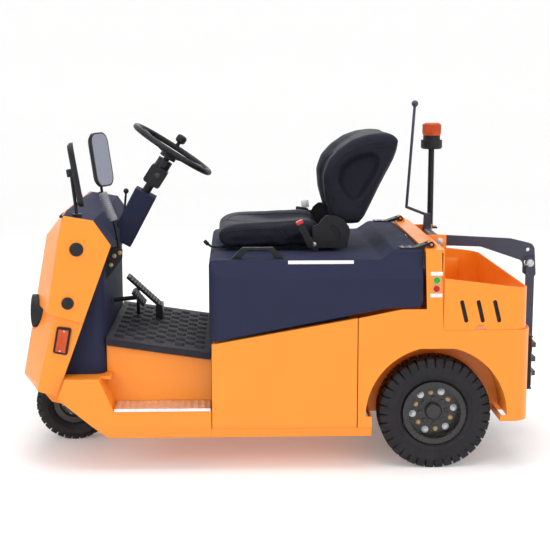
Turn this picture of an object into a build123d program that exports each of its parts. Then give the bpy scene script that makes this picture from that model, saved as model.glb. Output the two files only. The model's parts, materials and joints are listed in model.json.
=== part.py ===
from build123d import *
from math import asin, atan2, cos, degrees, hypot, pi, radians, sin, sqrt
import os

# Driving sizes of the tug, in millimetres and degrees
wheelbase = 1380
front_overhang = 150
rear_overhang = 470
body_width = 980
running_clearance = 0.3
sheet = 6
seam = 3

# Insets from the sides of the body
cowl_inset = 15
hood_top_inset = 36
deck_inset = 50
handle_inset = 60
mirror_inset = 60
hinge_inset = 66
mirror_head_inset = 80
tail_lamp_inset = 80
leg_shield_inset = 85
wheel_inset = 86
floor_inset = 100
inner_wall_inset = 125
beacon_inset = 130
battery_inset = 140
nose_inset = 190
stick_inset = 210
brake_inset = 220

# Wheels
rear_tyre_diameter = 415
rear_tyre_width = 112
rear_tread_width = 96
rear_bead_diameter = 204
rear_bead_width = 84
rear_flange_diameter = 238
rear_lugs = 22
front_tyre_diameter = 300
front_tyre_width = 95
front_tread_width = 80
front_bead_diameter = 128
front_bead_width = 66
front_flange_diameter = 168
front_lugs = 20
lug_depth = 10
lug_share = 0.64
lug_foot = 14
tread_channel = 10
tread_tuck = 4
bead_slack = 0.5
rim_wall = 5
rim_bevel = 2
disc_wall = 8
rear_dish = 39
front_dish = 16
spindle_diameter = 40
hub_diameter = 62
hub_cap_height = 18
hub_cap_bevel = 4
axle_tube_diameter = 80
front_axle_diameter = 24
wheel_room = 18

# Heights above the ground
sill_bottom = 131
skirt_fold = 178
panel_bottom = 166
deck_top = 355
step_top = 245
floor_rear_height = 427
floor_slope = 0.15
mat_thickness = 25
hood_top = 785
hump_top = 821
hood_fold = 718
box_floor_top = 526
pillar_top = 823
hinge_height = 836

# Places behind the front axle
leg_shield_back = 165
hood_front_back = 550

# Places around the rear axle
hood_rear_ahead = 57
hinge_ahead = 23
rear_seam_ahead = 289
rear_wall_behind = 346
box_wall_behind = 332
arch_radius = 260
arch_flat = 460
arch_half_length = 236
tail_corner_radius = 70

# Front cowl and its lamps
cowl_recess = 12
cowl_wall = 5
nose_rake = 0.19
crease_rake = 0.17
lamp_height = 575
lamp_diameter = 124
lamp_gap = 6
lamp_pod_wall = 5

# Driver's place
column_rake = 33
steering_wheel_diameter = 356
steering_rim_diameter = 23
steering_shaft_diameter = 24
kingpin_diameter = 50
seat_half_width = 240

# Tow pin and its release lever
lever_pivot_behind = 73
lever_pivot_height = 795
lever_tube_diameter = 34
lever_pin_diameter = 16
lever_plate = 12
stick_diameter = 12
tow_pin_diameter = 28
hitch_plate = 18
hitch_gap = 40
hitch_bottom = 250
link_end_gap = 26
link_bolt_height = 702
link_bolt_diameter = 16
spare_hole_diameter = 15

# Places that follow from the driving sizes
rear_x = rear_overhang - (wheelbase + front_overhang + rear_overhang) / 2
front_x = rear_x + wheelbase
nose_x = front_x + front_overhang
half_width = body_width / 2
rear_track = body_width - 2 * wheel_inset
cowl_half_width = half_width - cowl_inset
nose_half_width = half_width - nose_inset
floor_half_width = half_width - floor_inset
inner_wall_half_width = half_width - inner_wall_inset
deck_half_width = half_width - deck_inset
stick_side = half_width - stick_inset
outer_y = half_width - sheet
rear_axle_z = rear_tyre_diameter / 2
front_axle_z = front_tyre_diameter / 2
leg_x = front_x - leg_shield_back
hood_front_x = front_x - hood_front_back
floor_rear_x = hood_front_x - sheet
floor_front_x = leg_x - seam
hood_rear_x = rear_x + hood_rear_ahead
hinge_x = rear_x + hinge_ahead
seam_x = rear_x + rear_seam_ahead
rear_wall_x = rear_x - rear_wall_behind
box_wall_x = rear_x - box_wall_behind
pivot_x = rear_x - lever_pivot_behind
link_x = rear_x - rear_overhang + link_end_gap
wheel_wall_y = rear_track / 2 - rear_tyre_width / 2 - wheel_room

nodes = {}


def softened(rows, start_x=0, start_z=0):
    """Face whose rows give a place along, a height and the radius of that corner."""
    places = [(start_x + along, start_z + height) for along, height, radius in rows]
    face = Polygon(*places, align=None)
    for place, row in zip(places, rows):
        if row[2]:
            corner = face.vertices().sort_by_distance((*place, 0))[0]
            face = fillet(corner, row[2])
    return face


def along_y(face, y_from, y_to):
    """Solid with a face drawn in X and Z, from one Y to the other."""
    return extrude(Plane.XZ.offset(-y_to) * face, amount=y_to - y_from, dir=(0, -1, 0))


def side_outline(points, y_from, y_to):
    """Solid with the given corners in X and Z, from one Y to the other."""
    return along_y(Polygon(*points, align=None), y_from, y_to)


def along_x(face, x_from, x_to):
    """Solid with a face drawn in Y and Z, from one X to the other."""
    return extrude(Plane.YZ.offset(x_from) * face, amount=x_to - x_from, dir=(1, 0, 0))


def cross_outline(points, x_from, x_to):
    """Solid with the given corners in Y and Z, from one X to the other."""
    return along_x(Polygon(*points, align=None), x_from, x_to)


def block(x_from, x_to, y_from, y_to, z_from, z_to):
    """Box between two corners."""
    middle = Pos((x_from + x_to) / 2, (y_from + y_to) / 2, (z_from + z_to) / 2)
    return middle * Box(x_to - x_from, y_to - y_from, z_to - z_from)


def rod(start, end, diameter):
    """Round bar from one point to another."""
    line = Vector(*end) - Vector(*start)
    return extrude(Plane(origin=start, z_dir=line) * Circle(diameter / 2), amount=line.length)


def cross_pin(x, z, diameter, y_from, y_to):
    """Round bar along Y."""
    return rod((x, y_from, z), (x, y_to, z), diameter)


def pair(left):
    """The piece of the left side together with its mirror image."""
    return Part() + [left, mirror(left, about=Plane.XZ)]


def ahead(distance):
    """X of a place that far ahead of the rear axle."""
    return rear_x + distance


def back(distance):
    """X of a place that far behind the front axle."""
    return front_x - distance


def mat_top(x):
    """Height of the floor mat, which rises towards the front."""
    return floor_rear_height + (x - floor_rear_x) * floor_slope


def floor_underside(x):
    """Height below the floor plate."""
    return mat_top(x) - mat_thickness - sheet


# Wheels, made about the origin with Y as the axle
def many_sided(rows, sides):
    """Solid with flat faces through regular outlines, each a place along the axle and a radius."""
    rings = []
    for y, radius in rows:
        turns = [2 * pi * (corner + 0.5) / sides for corner in range(sides)]
        rings.append([(radius * sin(turn), y, -radius * cos(turn)) for turn in turns])
    faces = [Face(Wire.make_polygon(ring)) for ring in (rings[0], rings[-1])]
    for low, high in zip(rings, rings[1:]):
        for corner in range(sides):
            quad = (low[corner - 1], low[corner], high[corner], high[corner - 1])
            faces.append(Face(Wire.make_polygon(quad)))
    return Part() + Solid(Shell(faces))


def tyre(diameter, width, tread, bead, bead_width, flange, lugs):
    """Solid tyre with two staggered rows of lugs, seated between the flanges of its rim."""
    tip = diameter / 2
    lip = flange / 2 + 1
    belly = (tip + lip) / 2
    base = tip - lug_depth
    sides = 2 * lugs
    rows = [(bead_width / 2, lip), (width / 2, belly), (tread / 2 - tread_tuck, base)]
    rows += [(-y, radius) for y, radius in reversed(rows)]
    carcass = many_sided(rows, sides)

    pitch = 360 / lugs
    half_lug = lug_share * pi * tip / lugs
    flat = sqrt(tip**2 - half_lug**2)
    inner = tread_channel / 2
    lug = cross_outline(
        [
            (inner, -flat),
            (tread / 2, -flat),
            (width / 2, -belly - lug_foot),
            (width / 2 - lug_foot, -belly),
            (inner, lug_depth - base),
        ],
        -half_lug, half_lug,
    )
    twin = mirror(lug, about=Plane.XZ)
    rubber = carcass + [Rot(0, row * pitch, 0) * lug for row in range(lugs)]
    rubber += [Rot(0, (row + 0.5) * pitch, 0) * twin for row in range(lugs)]
    hole = RegularPolygon(bead / 2 + bead_slack, sides, major_radius=False)
    rubber -= along_y(hole, -width, width)
    return Rot(0, pitch / 2 - degrees(asin(half_lug / tip)), 0) * rubber


def flange_section(inside, outside, edge):
    """Section of both rim flanges, bevelled at their outer edges."""
    lip = Polygon(
        (inside, edge - rim_wall),
        (outside, edge - rim_wall),
        (outside, edge - rim_bevel),
        (outside - rim_bevel, edge),
        (inside, edge),
        align=None,
    )
    return lip + mirror(lip, about=Plane.XZ)


def span(inside, outside, low, high):
    """Section between two radii and two places along the axle."""
    return Pos((inside + outside) / 2, (low + high) / 2) * Rectangle(outside - inside, high - low)


def dished_rim():
    """Rear rim with two flanges, a dished disc and a hub closed by its cap."""
    inside = rear_bead_diameter / 2 - rim_wall
    edge = rear_bead_width / 2 + rim_wall
    bore = spindle_diameter / 2 + running_clearance
    face = edge - rear_dish
    hub = hub_diameter / 2
    section = flange_section(inside, rear_flange_diameter / 2, edge)
    section += span(inside, rear_bead_diameter / 2, -edge, edge)
    section += span(bore, inside + rim_wall / 2, face - disc_wall, face)
    section += span(bore, hub, -rear_bead_width / 2, face)
    section += Polygon(
        (0, face),
        (hub, face),
        (hub, face + hub_cap_height - hub_cap_bevel),
        (hub - hub_cap_bevel, face + hub_cap_height),
        (0, face + hub_cap_height),
        align=None,
    )
    return revolve(section, axis=Axis.Y)


def double_rim():
    """Front rim, dished on both sides."""
    inside = front_bead_diameter / 2 - rim_wall
    edge = front_bead_width / 2 + rim_wall
    bore = front_axle_diameter / 2 + running_clearance
    section = flange_section(inside, front_flange_diameter / 2, edge)
    section += span(inside, front_bead_diameter / 2, -edge, edge)
    section += span(bore, inside + rim_wall / 2, front_dish - edge, edge - front_dish)
    section += span(bore, hub_diameter / 2, -edge, edge)
    return revolve(section, axis=Axis.Y)


rear_rubber = tyre(rear_tyre_diameter, rear_tyre_width, rear_tread_width,
                   rear_bead_diameter, rear_bead_width, rear_flange_diameter, rear_lugs)
rear_steel = dished_rim()
rear_place = Pos(rear_x, rear_track / 2, rear_axle_z)
nodes["rear_tyre_left"] = rear_place * rear_rubber
nodes["rear_rim_left"] = rear_place * rear_steel
nodes["rear_tyre_right"] = mirror(nodes["rear_tyre_left"], about=Plane.XZ)
nodes["rear_rim_right"] = mirror(nodes["rear_rim_left"], about=Plane.XZ)

front_place = Pos(front_x, 0, front_axle_z)
nodes["front_tyre"] = front_place * tyre(front_tyre_diameter, front_tyre_width, front_tread_width,
                                         front_bead_diameter, front_bead_width, front_flange_diameter,
                                         front_lugs)
nodes["front_rim"] = front_place * double_rim()

# Steering fork with its kingpin and the front axle
fork_gap = 12
fork_leg = 14
fork_half_length = 34
fork_crown = 20
fork_crown_gap = 18
deck_plate = 12
kingpin_top = 470

leg_y = front_tyre_width / 2 + fork_gap
crown_z = front_tyre_diameter + fork_crown_gap
crown_top = crown_z + fork_crown
leg_face = Pos(front_x, front_axle_z) * Circle(fork_half_length)
leg_face += Pos(front_x, (front_axle_z + crown_top) / 2) * Rectangle(2 * fork_half_length,
                                                                    crown_top - front_axle_z)
fork = pair(along_y(leg_face, leg_y, leg_y + fork_leg))
fork += block(back(fork_half_length), back(-fork_half_length), -leg_y, leg_y, crown_z, crown_top)
fork += cross_pin(front_x, front_axle_z, front_axle_diameter, -leg_y, leg_y)
fork += rod((front_x, 0, crown_top), (front_x, 0, kingpin_top), kingpin_diameter)
nodes["steering_fork"] = fork

# Front frame: deck over the front wheel, steering head and the walls of the wheel well
well_half_width = 220
deck_rear_back = 190
deck_front_ahead = 50
head_diameter = 110
head_top = 455
well_foot = 25
well_outline = [(-2, 190), (60, 205), (88, 240), (88, 300)]

deck_low = deck_top - deck_plate
deck_rear_x = back(deck_rear_back)
deck_front_x = front_x + deck_front_ahead
deck = block(deck_rear_x, deck_front_x, -deck_half_width, deck_half_width, deck_low, deck_top)
head = rod((front_x, 0, deck_top), (front_x, 0, head_top), head_diameter)
well_corners = [(deck_rear_x, deck_low), (deck_rear_x, sill_bottom), (deck_rear_x + well_foot, sill_bottom)]
well_corners += [(front_x + along, height) for along, height in well_outline]
well_corners.append((deck_front_x, deck_low))
well_wall = side_outline(well_corners, well_half_width, well_half_width + sheet)
belly_y = inner_wall_half_width - sheet
well_rear = block(deck_rear_x - sheet, deck_rear_x, -belly_y, belly_y, sill_bottom, deck_top)
kingpin_bore = rod((front_x, 0, deck_low), (front_x, 0, head_top), kingpin_diameter + 2 * running_clearance)
nodes["front_frame"] = deck + head + pair(well_wall) + well_rear - kingpin_bore

# Under frame: belly plate, sills, the wall below the floor's rear edge and the floor plate
skirt_tuck = 14

belly = block(ahead(arch_half_length), deck_rear_x - sheet, -belly_y, belly_y, sill_bottom, sill_bottom + sheet)
tuck_y = half_width - skirt_tuck
sill_y = half_width - skirt_tuck * (skirt_fold - panel_bottom) / (skirt_fold - sill_bottom)
sill = cross_outline(
    [
        (belly_y, sill_bottom),
        (tuck_y, sill_bottom),
        (sill_y, panel_bottom),
        (sill_y - sheet, panel_bottom),
        (tuck_y - sheet, sill_bottom + sheet),
        (belly_y, sill_bottom + sheet),
    ],
    ahead(arch_half_length), floor_rear_x,
)
floor_rear_low = floor_underside(floor_rear_x)
floor_front_low = floor_underside(floor_front_x)
foot_wall = block(floor_rear_x - sheet, floor_rear_x, -belly_y, belly_y, sill_bottom, floor_rear_low)
floor_plate = side_outline(
    [
        (floor_rear_x - sheet, floor_rear_low),
        (floor_rear_x, floor_rear_low),
        (floor_front_x, floor_front_low),
        (floor_front_x, floor_front_low + sheet),
        (floor_rear_x, floor_rear_low + sheet),
        (floor_rear_x - sheet, floor_rear_low + sheet),
    ],
    -inner_wall_half_width, inner_wall_half_width,
)
nodes["under_frame"] = belly + pair(sill) + foot_wall + floor_plate

# Rubber mat on the floor
mat_rear_x = floor_rear_x + seam
nodes["floor_mat"] = side_outline(
    [
        (mat_rear_x, mat_top(mat_rear_x) - mat_thickness),
        (floor_front_x, mat_top(floor_front_x) - mat_thickness),
        (floor_front_x, mat_top(floor_front_x)),
        (mat_rear_x, mat_top(mat_rear_x)),
    ],
    -floor_half_width, floor_half_width,
)

# Entry panels: outer skin, step recess and the inner wall that carries the floor
step_plate = 10
step_nose = 5
recess_front_back = 202
recess_lip_back = 150
outer_front_back = 27
arch_foot_back = 179
arch_head_z = 281

tray_top = step_top - step_plate
recess_front_x = back(recess_front_back)
recess_lip_x = back(recess_lip_back)


def skin(points):
    """Sheet at the left side whose lower edge is folded inwards."""
    band = [
        (half_width, hinge_height),
        (half_width, skirt_fold),
        (tuck_y, sill_bottom),
        (tuck_y - sheet, sill_bottom),
        (outer_y, skirt_fold),
        (outer_y, hinge_height),
    ]
    reach = cross_outline(band, rear_wall_x, nose_x)
    return side_outline(points, tuck_y - 2 * sheet, half_width) & reach


entry = skin(
    [
        (back(outer_front_back), deck_top),
        (recess_lip_x, deck_top),
        (recess_front_x, tray_top),
        (floor_rear_x, tray_top),
        (floor_rear_x, sill_bottom),
        (back(arch_foot_back), sill_bottom),
        (front_x, arch_head_z),
    ]
)
entry += block(recess_lip_x, back(outer_front_back), deck_half_width, outer_y, deck_top - sheet, deck_top)
entry += side_outline(
    [
        (recess_lip_x, deck_top),
        (recess_lip_x + sheet, deck_top),
        (recess_front_x + sheet, tray_top - sheet),
        (recess_front_x, tray_top - sheet),
    ],
    inner_wall_half_width, outer_y,
)
entry += block(floor_rear_x, recess_front_x + sheet, inner_wall_half_width, outer_y, tray_top - sheet, tray_top)
entry += side_outline(
    [
        (floor_rear_x, sill_bottom),
        (floor_front_x, sill_bottom),
        (floor_front_x, floor_front_low),
        (floor_rear_x, floor_rear_low),
    ],
    belly_y, inner_wall_half_width,
)
entry -= nodes["front_frame"]
nodes["entry_panel_left"] = entry
nodes["entry_panel_right"] = mirror(entry, about=Plane.XZ)

nodes["step_plates"] = pair(
    block(floor_rear_x + seam, recess_front_x - seam, inner_wall_half_width + seam, half_width + step_nose,
          tray_top, step_top)
)

# Side panels, which lift off to reach the battery
panel_front_top = 480
panel_rear_top = 574
panel_flange = 26

panel_front_x = floor_rear_x - seam
panel_rear_x = seam_x + seam
panel = skin(
    [
        (panel_rear_x, panel_bottom),
        (panel_front_x, panel_bottom),
        (panel_front_x, panel_front_top),
        (panel_rear_x, panel_rear_top),
    ]
)
panel += side_outline(
    [
        (panel_rear_x, panel_rear_top - sheet),
        (panel_front_x, panel_front_top - sheet),
        (panel_front_x, panel_front_top),
        (panel_rear_x, panel_rear_top),
    ],
    half_width - panel_flange, outer_y,
)
nodes["side_panel_left"] = panel
nodes["side_panel_right"] = mirror(panel, about=Plane.XZ)

# Battery, one heavy block
battery_top = 690
battery_gap = 20

battery_half_width = half_width - battery_inset
nodes["battery"] = block(seam_x + battery_gap, floor_rear_x - sheet - battery_gap,
                         -battery_half_width, battery_half_width, sill_bottom + sheet, battery_top)


# Rear body: one bent sheet round the tail, with pillars and wheel arches
def wrapped(wall_x, side_y, radius, end_x, z_from, z_to):
    """Upright block with a flat front and rounded rear corners."""
    plan = Pos((wall_x + end_x) / 2, 0) * Rectangle(end_x - wall_x, 2 * side_y)
    plan = fillet(plan.vertices().sort_by(Axis.X)[:2], radius)
    return extrude(Pos(0, 0, z_from) * plan, amount=z_to - z_from)


arch_leg_height = 110


def arch_face(grow):
    """Outline of the wheel arch, larger all round by the given amount."""
    radius = arch_radius + grow
    foot = rear_axle_z + arch_leg_height
    bow = Pos(rear_x, rear_axle_z) * Circle(radius)
    bow -= Pos(rear_x, arch_flat + grow + radius / 2) * Rectangle(2 * radius, radius)
    bow -= Pos(rear_x, 0) * Rectangle(2 * radius, 2 * rear_axle_z)
    return bow + Pos(rear_x, foot / 2) * Rectangle(2 * (arch_half_length + grow), foot)


tail_bottom = 186
tail_top = 528
pillar_foot = 606
shoulder_ahead = 131
pillar_front_ahead = 50
pillar_lean = 8
pillar_rear_behind = 8
bulkhead_behind = 20

pillar_front_x = ahead(pillar_front_ahead)
pillar_rear_x = ahead(-pillar_rear_behind)
box_front_x = ahead(-bulkhead_behind)
shell = wrapped(rear_wall_x, half_width, tail_corner_radius, seam_x, 0, pillar_top)
shell -= wrapped(rear_wall_x + sheet, outer_y, tail_corner_radius - sheet, seam_x, 0, pillar_top)
shell &= side_outline(
    [
        (seam_x, panel_bottom),
        (seam_x, panel_rear_top),
        (ahead(shoulder_ahead), pillar_foot),
        (pillar_front_x - pillar_lean, pillar_foot),
        (pillar_front_x, pillar_top),
        (pillar_rear_x, pillar_top),
        (box_front_x, tail_top),
        (rear_wall_x, tail_top),
        (rear_wall_x, tail_bottom),
        (ahead(-arch_half_length), tail_bottom),
        (ahead(-arch_half_length), panel_bottom),
    ],
    -half_width, half_width,
)
nodes["rear_shell"] = shell - along_y(arch_face(0), -half_width, half_width)

# Wheel housings: inner walls and arch liners, with the hole for the axle tube
box_floor_low = box_floor_top - sheet
housing = block(rear_wall_x + sheet, seam_x, wheel_wall_y - sheet, wheel_wall_y, tail_bottom, box_floor_low)
arch_liner = along_y(arch_face(sheet) - arch_face(0), wheel_wall_y, outer_y)
housing += arch_liner & block(rear_wall_x, seam_x, wheel_wall_y, outer_y, tail_bottom, box_floor_top)
housing -= cross_pin(rear_x, rear_axle_z, axle_tube_diameter + 2 * running_clearance, 0, half_width)
nodes["wheel_housings"] = pair(housing)

# Parcel box behind the seat
box_corner_radius = 60
box_top_front = 718
box_top_rear = 680
box_set_in = 1
slot_rows = 3
slot_width = 15
slot_lean = 14
slot_length = 85
slot_middle = 597
slot_first_behind = 94
slot_pitch = 60
notch_radius = 19
notch_behind = 155

box_side = half_width - box_set_in
box = wrapped(box_wall_x, box_side, box_corner_radius, box_front_x, tail_top, box_top_front)
box -= wrapped(box_wall_x + sheet, box_side - sheet, box_corner_radius - sheet, box_front_x,
               tail_top, box_top_front)
box &= side_outline(
    [
        (box_front_x, tail_top),
        (box_front_x, box_top_front),
        (box_wall_x, box_top_rear),
        (box_wall_x, tail_top),
    ],
    -half_width, half_width,
)
for row in range(slot_rows):
    place = Pos(ahead(-slot_first_behind - row * slot_pitch), slot_middle) * Rot(0, 0, -slot_lean)
    slot = place * SlotOverall(slot_length, slot_width, rotation=90)
    box -= along_y(slot, -half_width, half_width)
notch = Pos(ahead(-notch_behind), tail_top) * Circle(notch_radius)
nodes["parcel_box"] = box - along_y(notch, -half_width, half_width)

nodes["box_floor"] = wrapped(rear_wall_x + sheet, outer_y, tail_corner_radius - sheet, box_front_x,
                             box_floor_low, box_floor_top)

# Bulkhead and the crossbar between the pillars
crossbar_plate = 12
crossbar_setback = 2

bulkhead = block(box_front_x, box_front_x + sheet, -outer_y, outer_y, box_floor_low, pillar_top)
bulkhead += block(box_front_x + sheet, pillar_front_x - crossbar_setback, -outer_y, outer_y,
                  pillar_top - crossbar_plate, pillar_top)

# Drive axle and its motor
spindle_setback = 2
tube_gap = 4
gear_diameter = 210
gear_width = 170
motor_diameter = 200
motor_length = 130
motor_neck_diameter = 160
motor_neck = 40
motor_ahead = 103

spindle_end = rear_track / 2 + rear_bead_width / 2 + rim_wall - rear_dish - spindle_setback
tube_end = rear_track / 2 - rear_bead_width / 2 - tube_gap
axle = cross_pin(rear_x, rear_axle_z, axle_tube_diameter, -tube_end, tube_end)
axle += cross_pin(rear_x, rear_axle_z, spindle_diameter, -spindle_end, spindle_end)
axle += cross_pin(rear_x, rear_axle_z, gear_diameter, -gear_width / 2, gear_width / 2)
motor_start = (ahead(motor_ahead), 0, rear_axle_z)
axle += rod((ahead(motor_ahead - motor_neck), 0, rear_axle_z), motor_start, motor_neck_diameter)
axle += rod(motor_start, (ahead(motor_ahead + motor_length), 0, rear_axle_z), motor_diameter)
nodes["drive_axle"] = axle

# Front cowl: a faceted shell round the nose, in an upper and a lower part
cowl_bottom = 280
nose_low = 335
lower_overlap = 660
upper_overlap = 500
nose_high = 860
cowl_top = 960
cowl_rim = 955
brow_setback = 60
foot_setback = 45
cowl_reach = 300
upper_crease_ahead = 33
upper_crease_height = 576
lower_crease_ahead = 10
lower_crease_height = 561
lower_crease_rake = 0.251
crease_radius = 18
nose_radius = 30
step_rise = 90
step_run = 327
step_rear_back = 97
step_rear_height = 559

step_rear = (back(step_rear_back), step_rear_height)
step_front = (step_rear[0] + step_run, step_rear_height + step_rise)
dash_top = (back(33), 949)
dash_corner = (back(141), 931)
dash_foot = (back(203), 841)
cowl_foot_front = (back(-74), 305)
cowl_foot_rear = (back(-5), 286)


def nose_at(z):
    """X of the raked front face."""
    return nose_x - (z - nose_low) * nose_rake


def cowl_plan(z, side_y, crease_x, front, inset):
    """Plan of the cowl at one height, with its angled corner faces."""
    rear = back(cowl_reach)
    crease = crease_radius - inset
    nose = nose_radius - inset
    rows = [
        (rear, -side_y, 0),
        (crease_x, -side_y, crease),
        (front, -nose_half_width, nose),
        (front, nose_half_width, nose),
        (crease_x, side_y, crease),
        (rear, side_y, 0),
    ]
    return Pos(0, 0, z) * softened(rows)


def upper_loft(inset):
    """Upper cowl, which folds back towards its top edge."""
    plans = []
    for z, setback in ((upper_overlap, 0), (nose_high, 0), (cowl_top, brow_setback)):
        crease_x = front_x + upper_crease_ahead - (z - upper_crease_height) * crease_rake - inset
        plans.append(cowl_plan(z, cowl_half_width - inset, crease_x, nose_at(z) - setback - inset, inset))
    return loft(plans, ruled=True)


def lower_loft(inset):
    """Lower cowl, set in behind the step line and tucked under at its foot."""
    plans = []
    for z, setback in ((cowl_bottom, foot_setback), (nose_low, 0), (lower_overlap, 0)):
        crease_x = front_x + lower_crease_ahead + (lower_crease_height - z) * lower_crease_rake - inset
        plans.append(cowl_plan(z, cowl_half_width - cowl_recess - inset, crease_x,
                               nose_at(z) - setback - inset, inset))
    return loft(plans, ruled=True)


def step_line(x):
    """Height of the slanted step between the two parts of the cowl."""
    return step_rear_height + (x - step_rear[0]) * step_rise / step_run


upper_shape = [step_rear, step_front, (step_front[0], cowl_rim), dash_top, dash_corner, dash_foot]
lower_shape = [step_rear, step_front, (step_front[0], nose_low), cowl_foot_front, cowl_foot_rear]
room_rear_x = back(cowl_reach)
room_step = [(room_rear_x, step_line(room_rear_x) + cowl_wall), (step_front[0], step_front[1] + cowl_wall)]
upper_room = [*room_step, (step_front[0], cowl_top), (room_rear_x, cowl_top)]
lower_room = [*room_step, (step_front[0], cowl_bottom), (room_rear_x, cowl_bottom)]
outer = upper_loft(0) & side_outline(upper_shape, -half_width, half_width)
outer += lower_loft(0) & side_outline(lower_shape, -half_width, half_width)
room = upper_loft(cowl_wall) & side_outline(upper_room, -half_width, half_width)
room += lower_loft(cowl_wall) & side_outline(lower_room, -half_width, half_width)

# Lamp pods let into the angled corners
pod_ahead = 20
lamp_proud = 4
lens_depth = 16
lens_rim = 8
lens_proud = 3
lens_bevel = 6

pod_bore = lamp_diameter + 2 * lamp_gap
pod_back_x = front_x + pod_ahead
lamp_seat_x = pod_back_x + lamp_pod_wall
lamp_front_x = nose_at(lamp_height) + lamp_proud
lens_seat_x = lamp_front_x - lens_depth
pocket_diameter = lamp_diameter - 2 * lens_rim


def lamp_rod(x_from, x_to, diameter):
    """Round piece along the axis of the left headlamp."""
    return rod((x_from, nose_half_width, lamp_height), (x_to, nose_half_width, lamp_height), diameter)


cowl = outer - room
cowl += pair(lamp_rod(pod_back_x, nose_x, pod_bore + 2 * lamp_pod_wall)) & outer
cowl -= pair(lamp_rod(lamp_seat_x, nose_x, pod_bore))
nodes["front_cowl"] = cowl

lamp_body = lamp_rod(lamp_seat_x, lamp_front_x, lamp_diameter)
lamp_body -= lamp_rod(lens_seat_x, lamp_front_x, pocket_diameter)
lens = lamp_rod(lens_seat_x, lamp_front_x + lens_proud, pocket_diameter - 2 * bead_slack)
nodes["headlamp_lenses"] = pair(chamfer(lens.edges().group_by(Axis.X)[-1], lens_bevel))

# Indicators and rubber plugs on the sides of the cowl
bezel_proud = 9
bezel_radius = 8
glass_margin = 8
glass_proud = 5
indicator_rows = [(-3, 547), (-55, 540), (-36, 441), (15, 451)]
plug_proud = 4
plug_high_back = 80
plug_high_height = 828
plug_high_diameter = 49
plug_low_back = 44
plug_low_height = 633
plug_low_diameter = 44

lower_side_y = cowl_half_width - cowl_recess
glass_side_y = lower_side_y + bezel_proud
plug_side_y = cowl_half_width + plug_proud
indicator = Polygon(*[(front_x + along, height) for along, height in indicator_rows], align=None)
bezel = along_y(fillet(indicator.vertices(), bezel_radius), lower_side_y, glass_side_y)
glass = along_y(offset(indicator, amount=-glass_margin), glass_side_y, glass_side_y + glass_proud)
nodes["indicator_lenses"] = pair(glass)

plugs = cross_pin(back(plug_high_back), plug_high_height, plug_high_diameter, cowl_half_width, plug_side_y)
plugs += cross_pin(back(plug_low_back), plug_low_height, plug_low_diameter, cowl_half_width, plug_side_y)
nodes["cowl_fittings"] = pair(lamp_body) + pair(bezel) + pair(plugs)

# Dash panel and leg shield
dash_wall = 8
leg_wall = 5
leg_corner = 40
leg_top = 806
leg_depth = 150
shield_lip = 3
dash_drop = 4

dash_half_width = cowl_half_width - cowl_wall
leg_half_width = half_width - leg_shield_inset
dash_front_z = dash_top[1] - dash_drop
brow_share = (dash_front_z - nose_high) / (cowl_top - nose_high)
dash_line = [
    (nose_at(dash_front_z) - brow_setback * brow_share - cowl_wall, dash_front_z),
    (dash_top[0], dash_front_z),
    (dash_corner[0] + dash_drop / 2, dash_corner[1] - dash_drop),
    (dash_foot[0] + 1.5 * dash_drop, dash_foot[1] + dash_drop / 2),
    (leg_x, leg_top - shield_lip),
]
dash = along_y(trace(Polyline(*dash_line), line_width=dash_wall), -dash_half_width, dash_half_width)
dash -= cowl
nodes["dash_panel"] = dash
dash_room = side_outline([*dash_line, (dash_top[0], leg_top - shield_lip)], -dash_half_width, dash_half_width)


def shield_plan(inset):
    """Plan of the leg shield with its rounded rear corners."""
    plan = Pos(leg_x + leg_depth / 2 + inset, 0) * Rectangle(leg_depth, 2 * (leg_half_width - inset))
    return fillet(plan.vertices().sort_by(Axis.X)[:2], leg_corner - inset)


leg_shield = extrude(Pos(0, 0, deck_top) * (shield_plan(0) - shield_plan(leg_wall)), amount=leg_top - deck_top)
nodes["leg_shield"] = leg_shield - dash

# Cover round the foot of the steering column
cover_rake = 28
cover_depth = 88
cover_half_width = 60
cover_length = 215
cover_radius = 10
cover_top_back = 298
cover_top_height = 989

cover_axis = (-sin(radians(cover_rake)), 0, cos(radians(cover_rake)))
cover_plane = Plane(origin=(back(cover_top_back), 0, cover_top_height), x_dir=(0, 1, 0), z_dir=cover_axis)
cover = Pos(0, 0, -cover_length / 2) * Box(2 * cover_half_width, cover_depth, cover_length)
cover = cover_plane * fillet(cover.edges().filter_by(Axis.Z), cover_radius)
cover = cover - dash - dash_room
nodes["column_cover"] = cover

# Steering column with its housing, tilt knuckle and stalks
wheel_centre_back = 404
wheel_centre_height = 1157
housing_start = 50
housing_end = 105
housing_diameter = 60
column_diameter = 34
column_end = 230
knuckle_down = 123
knuckle_length = 78
knuckle_width = 84
knuckle_depth = 72
knuckle_radius = 12
stalk_diameter = 9
stalk_reach = 110
stalk_down = 85
stalk_sweep = 20
stalk_rise = 12

wheel_centre = (back(wheel_centre_back), 0, wheel_centre_height)
column_axis = Vector(-sin(radians(column_rake)), 0, cos(radians(column_rake)))


def down_column(distance):
    """Point on the steering axis below the middle of the wheel."""
    return tuple(Vector(*wheel_centre) - column_axis * distance)


column = rod(down_column(housing_start), down_column(housing_end), housing_diameter)
column += rod(down_column(housing_end), down_column(column_end), column_diameter)
knuckle = fillet(Box(knuckle_width, knuckle_depth, knuckle_length).edges().filter_by(Axis.X), knuckle_radius)
column += Plane(origin=down_column(knuckle_down), x_dir=(0, 1, 0), z_dir=column_axis) * knuckle
stalk_root = down_column(stalk_down)
for side in (-1, 1):
    tip = (stalk_root[0] - stalk_sweep, side * stalk_reach, stalk_root[2] + stalk_rise)
    column += rod(stalk_root, tip, stalk_diameter)
column -= rod(wheel_centre, down_column(column_end + seam), steering_shaft_diameter + 2 * running_clearance)
nodes["steering_column"] = column - cover

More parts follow.
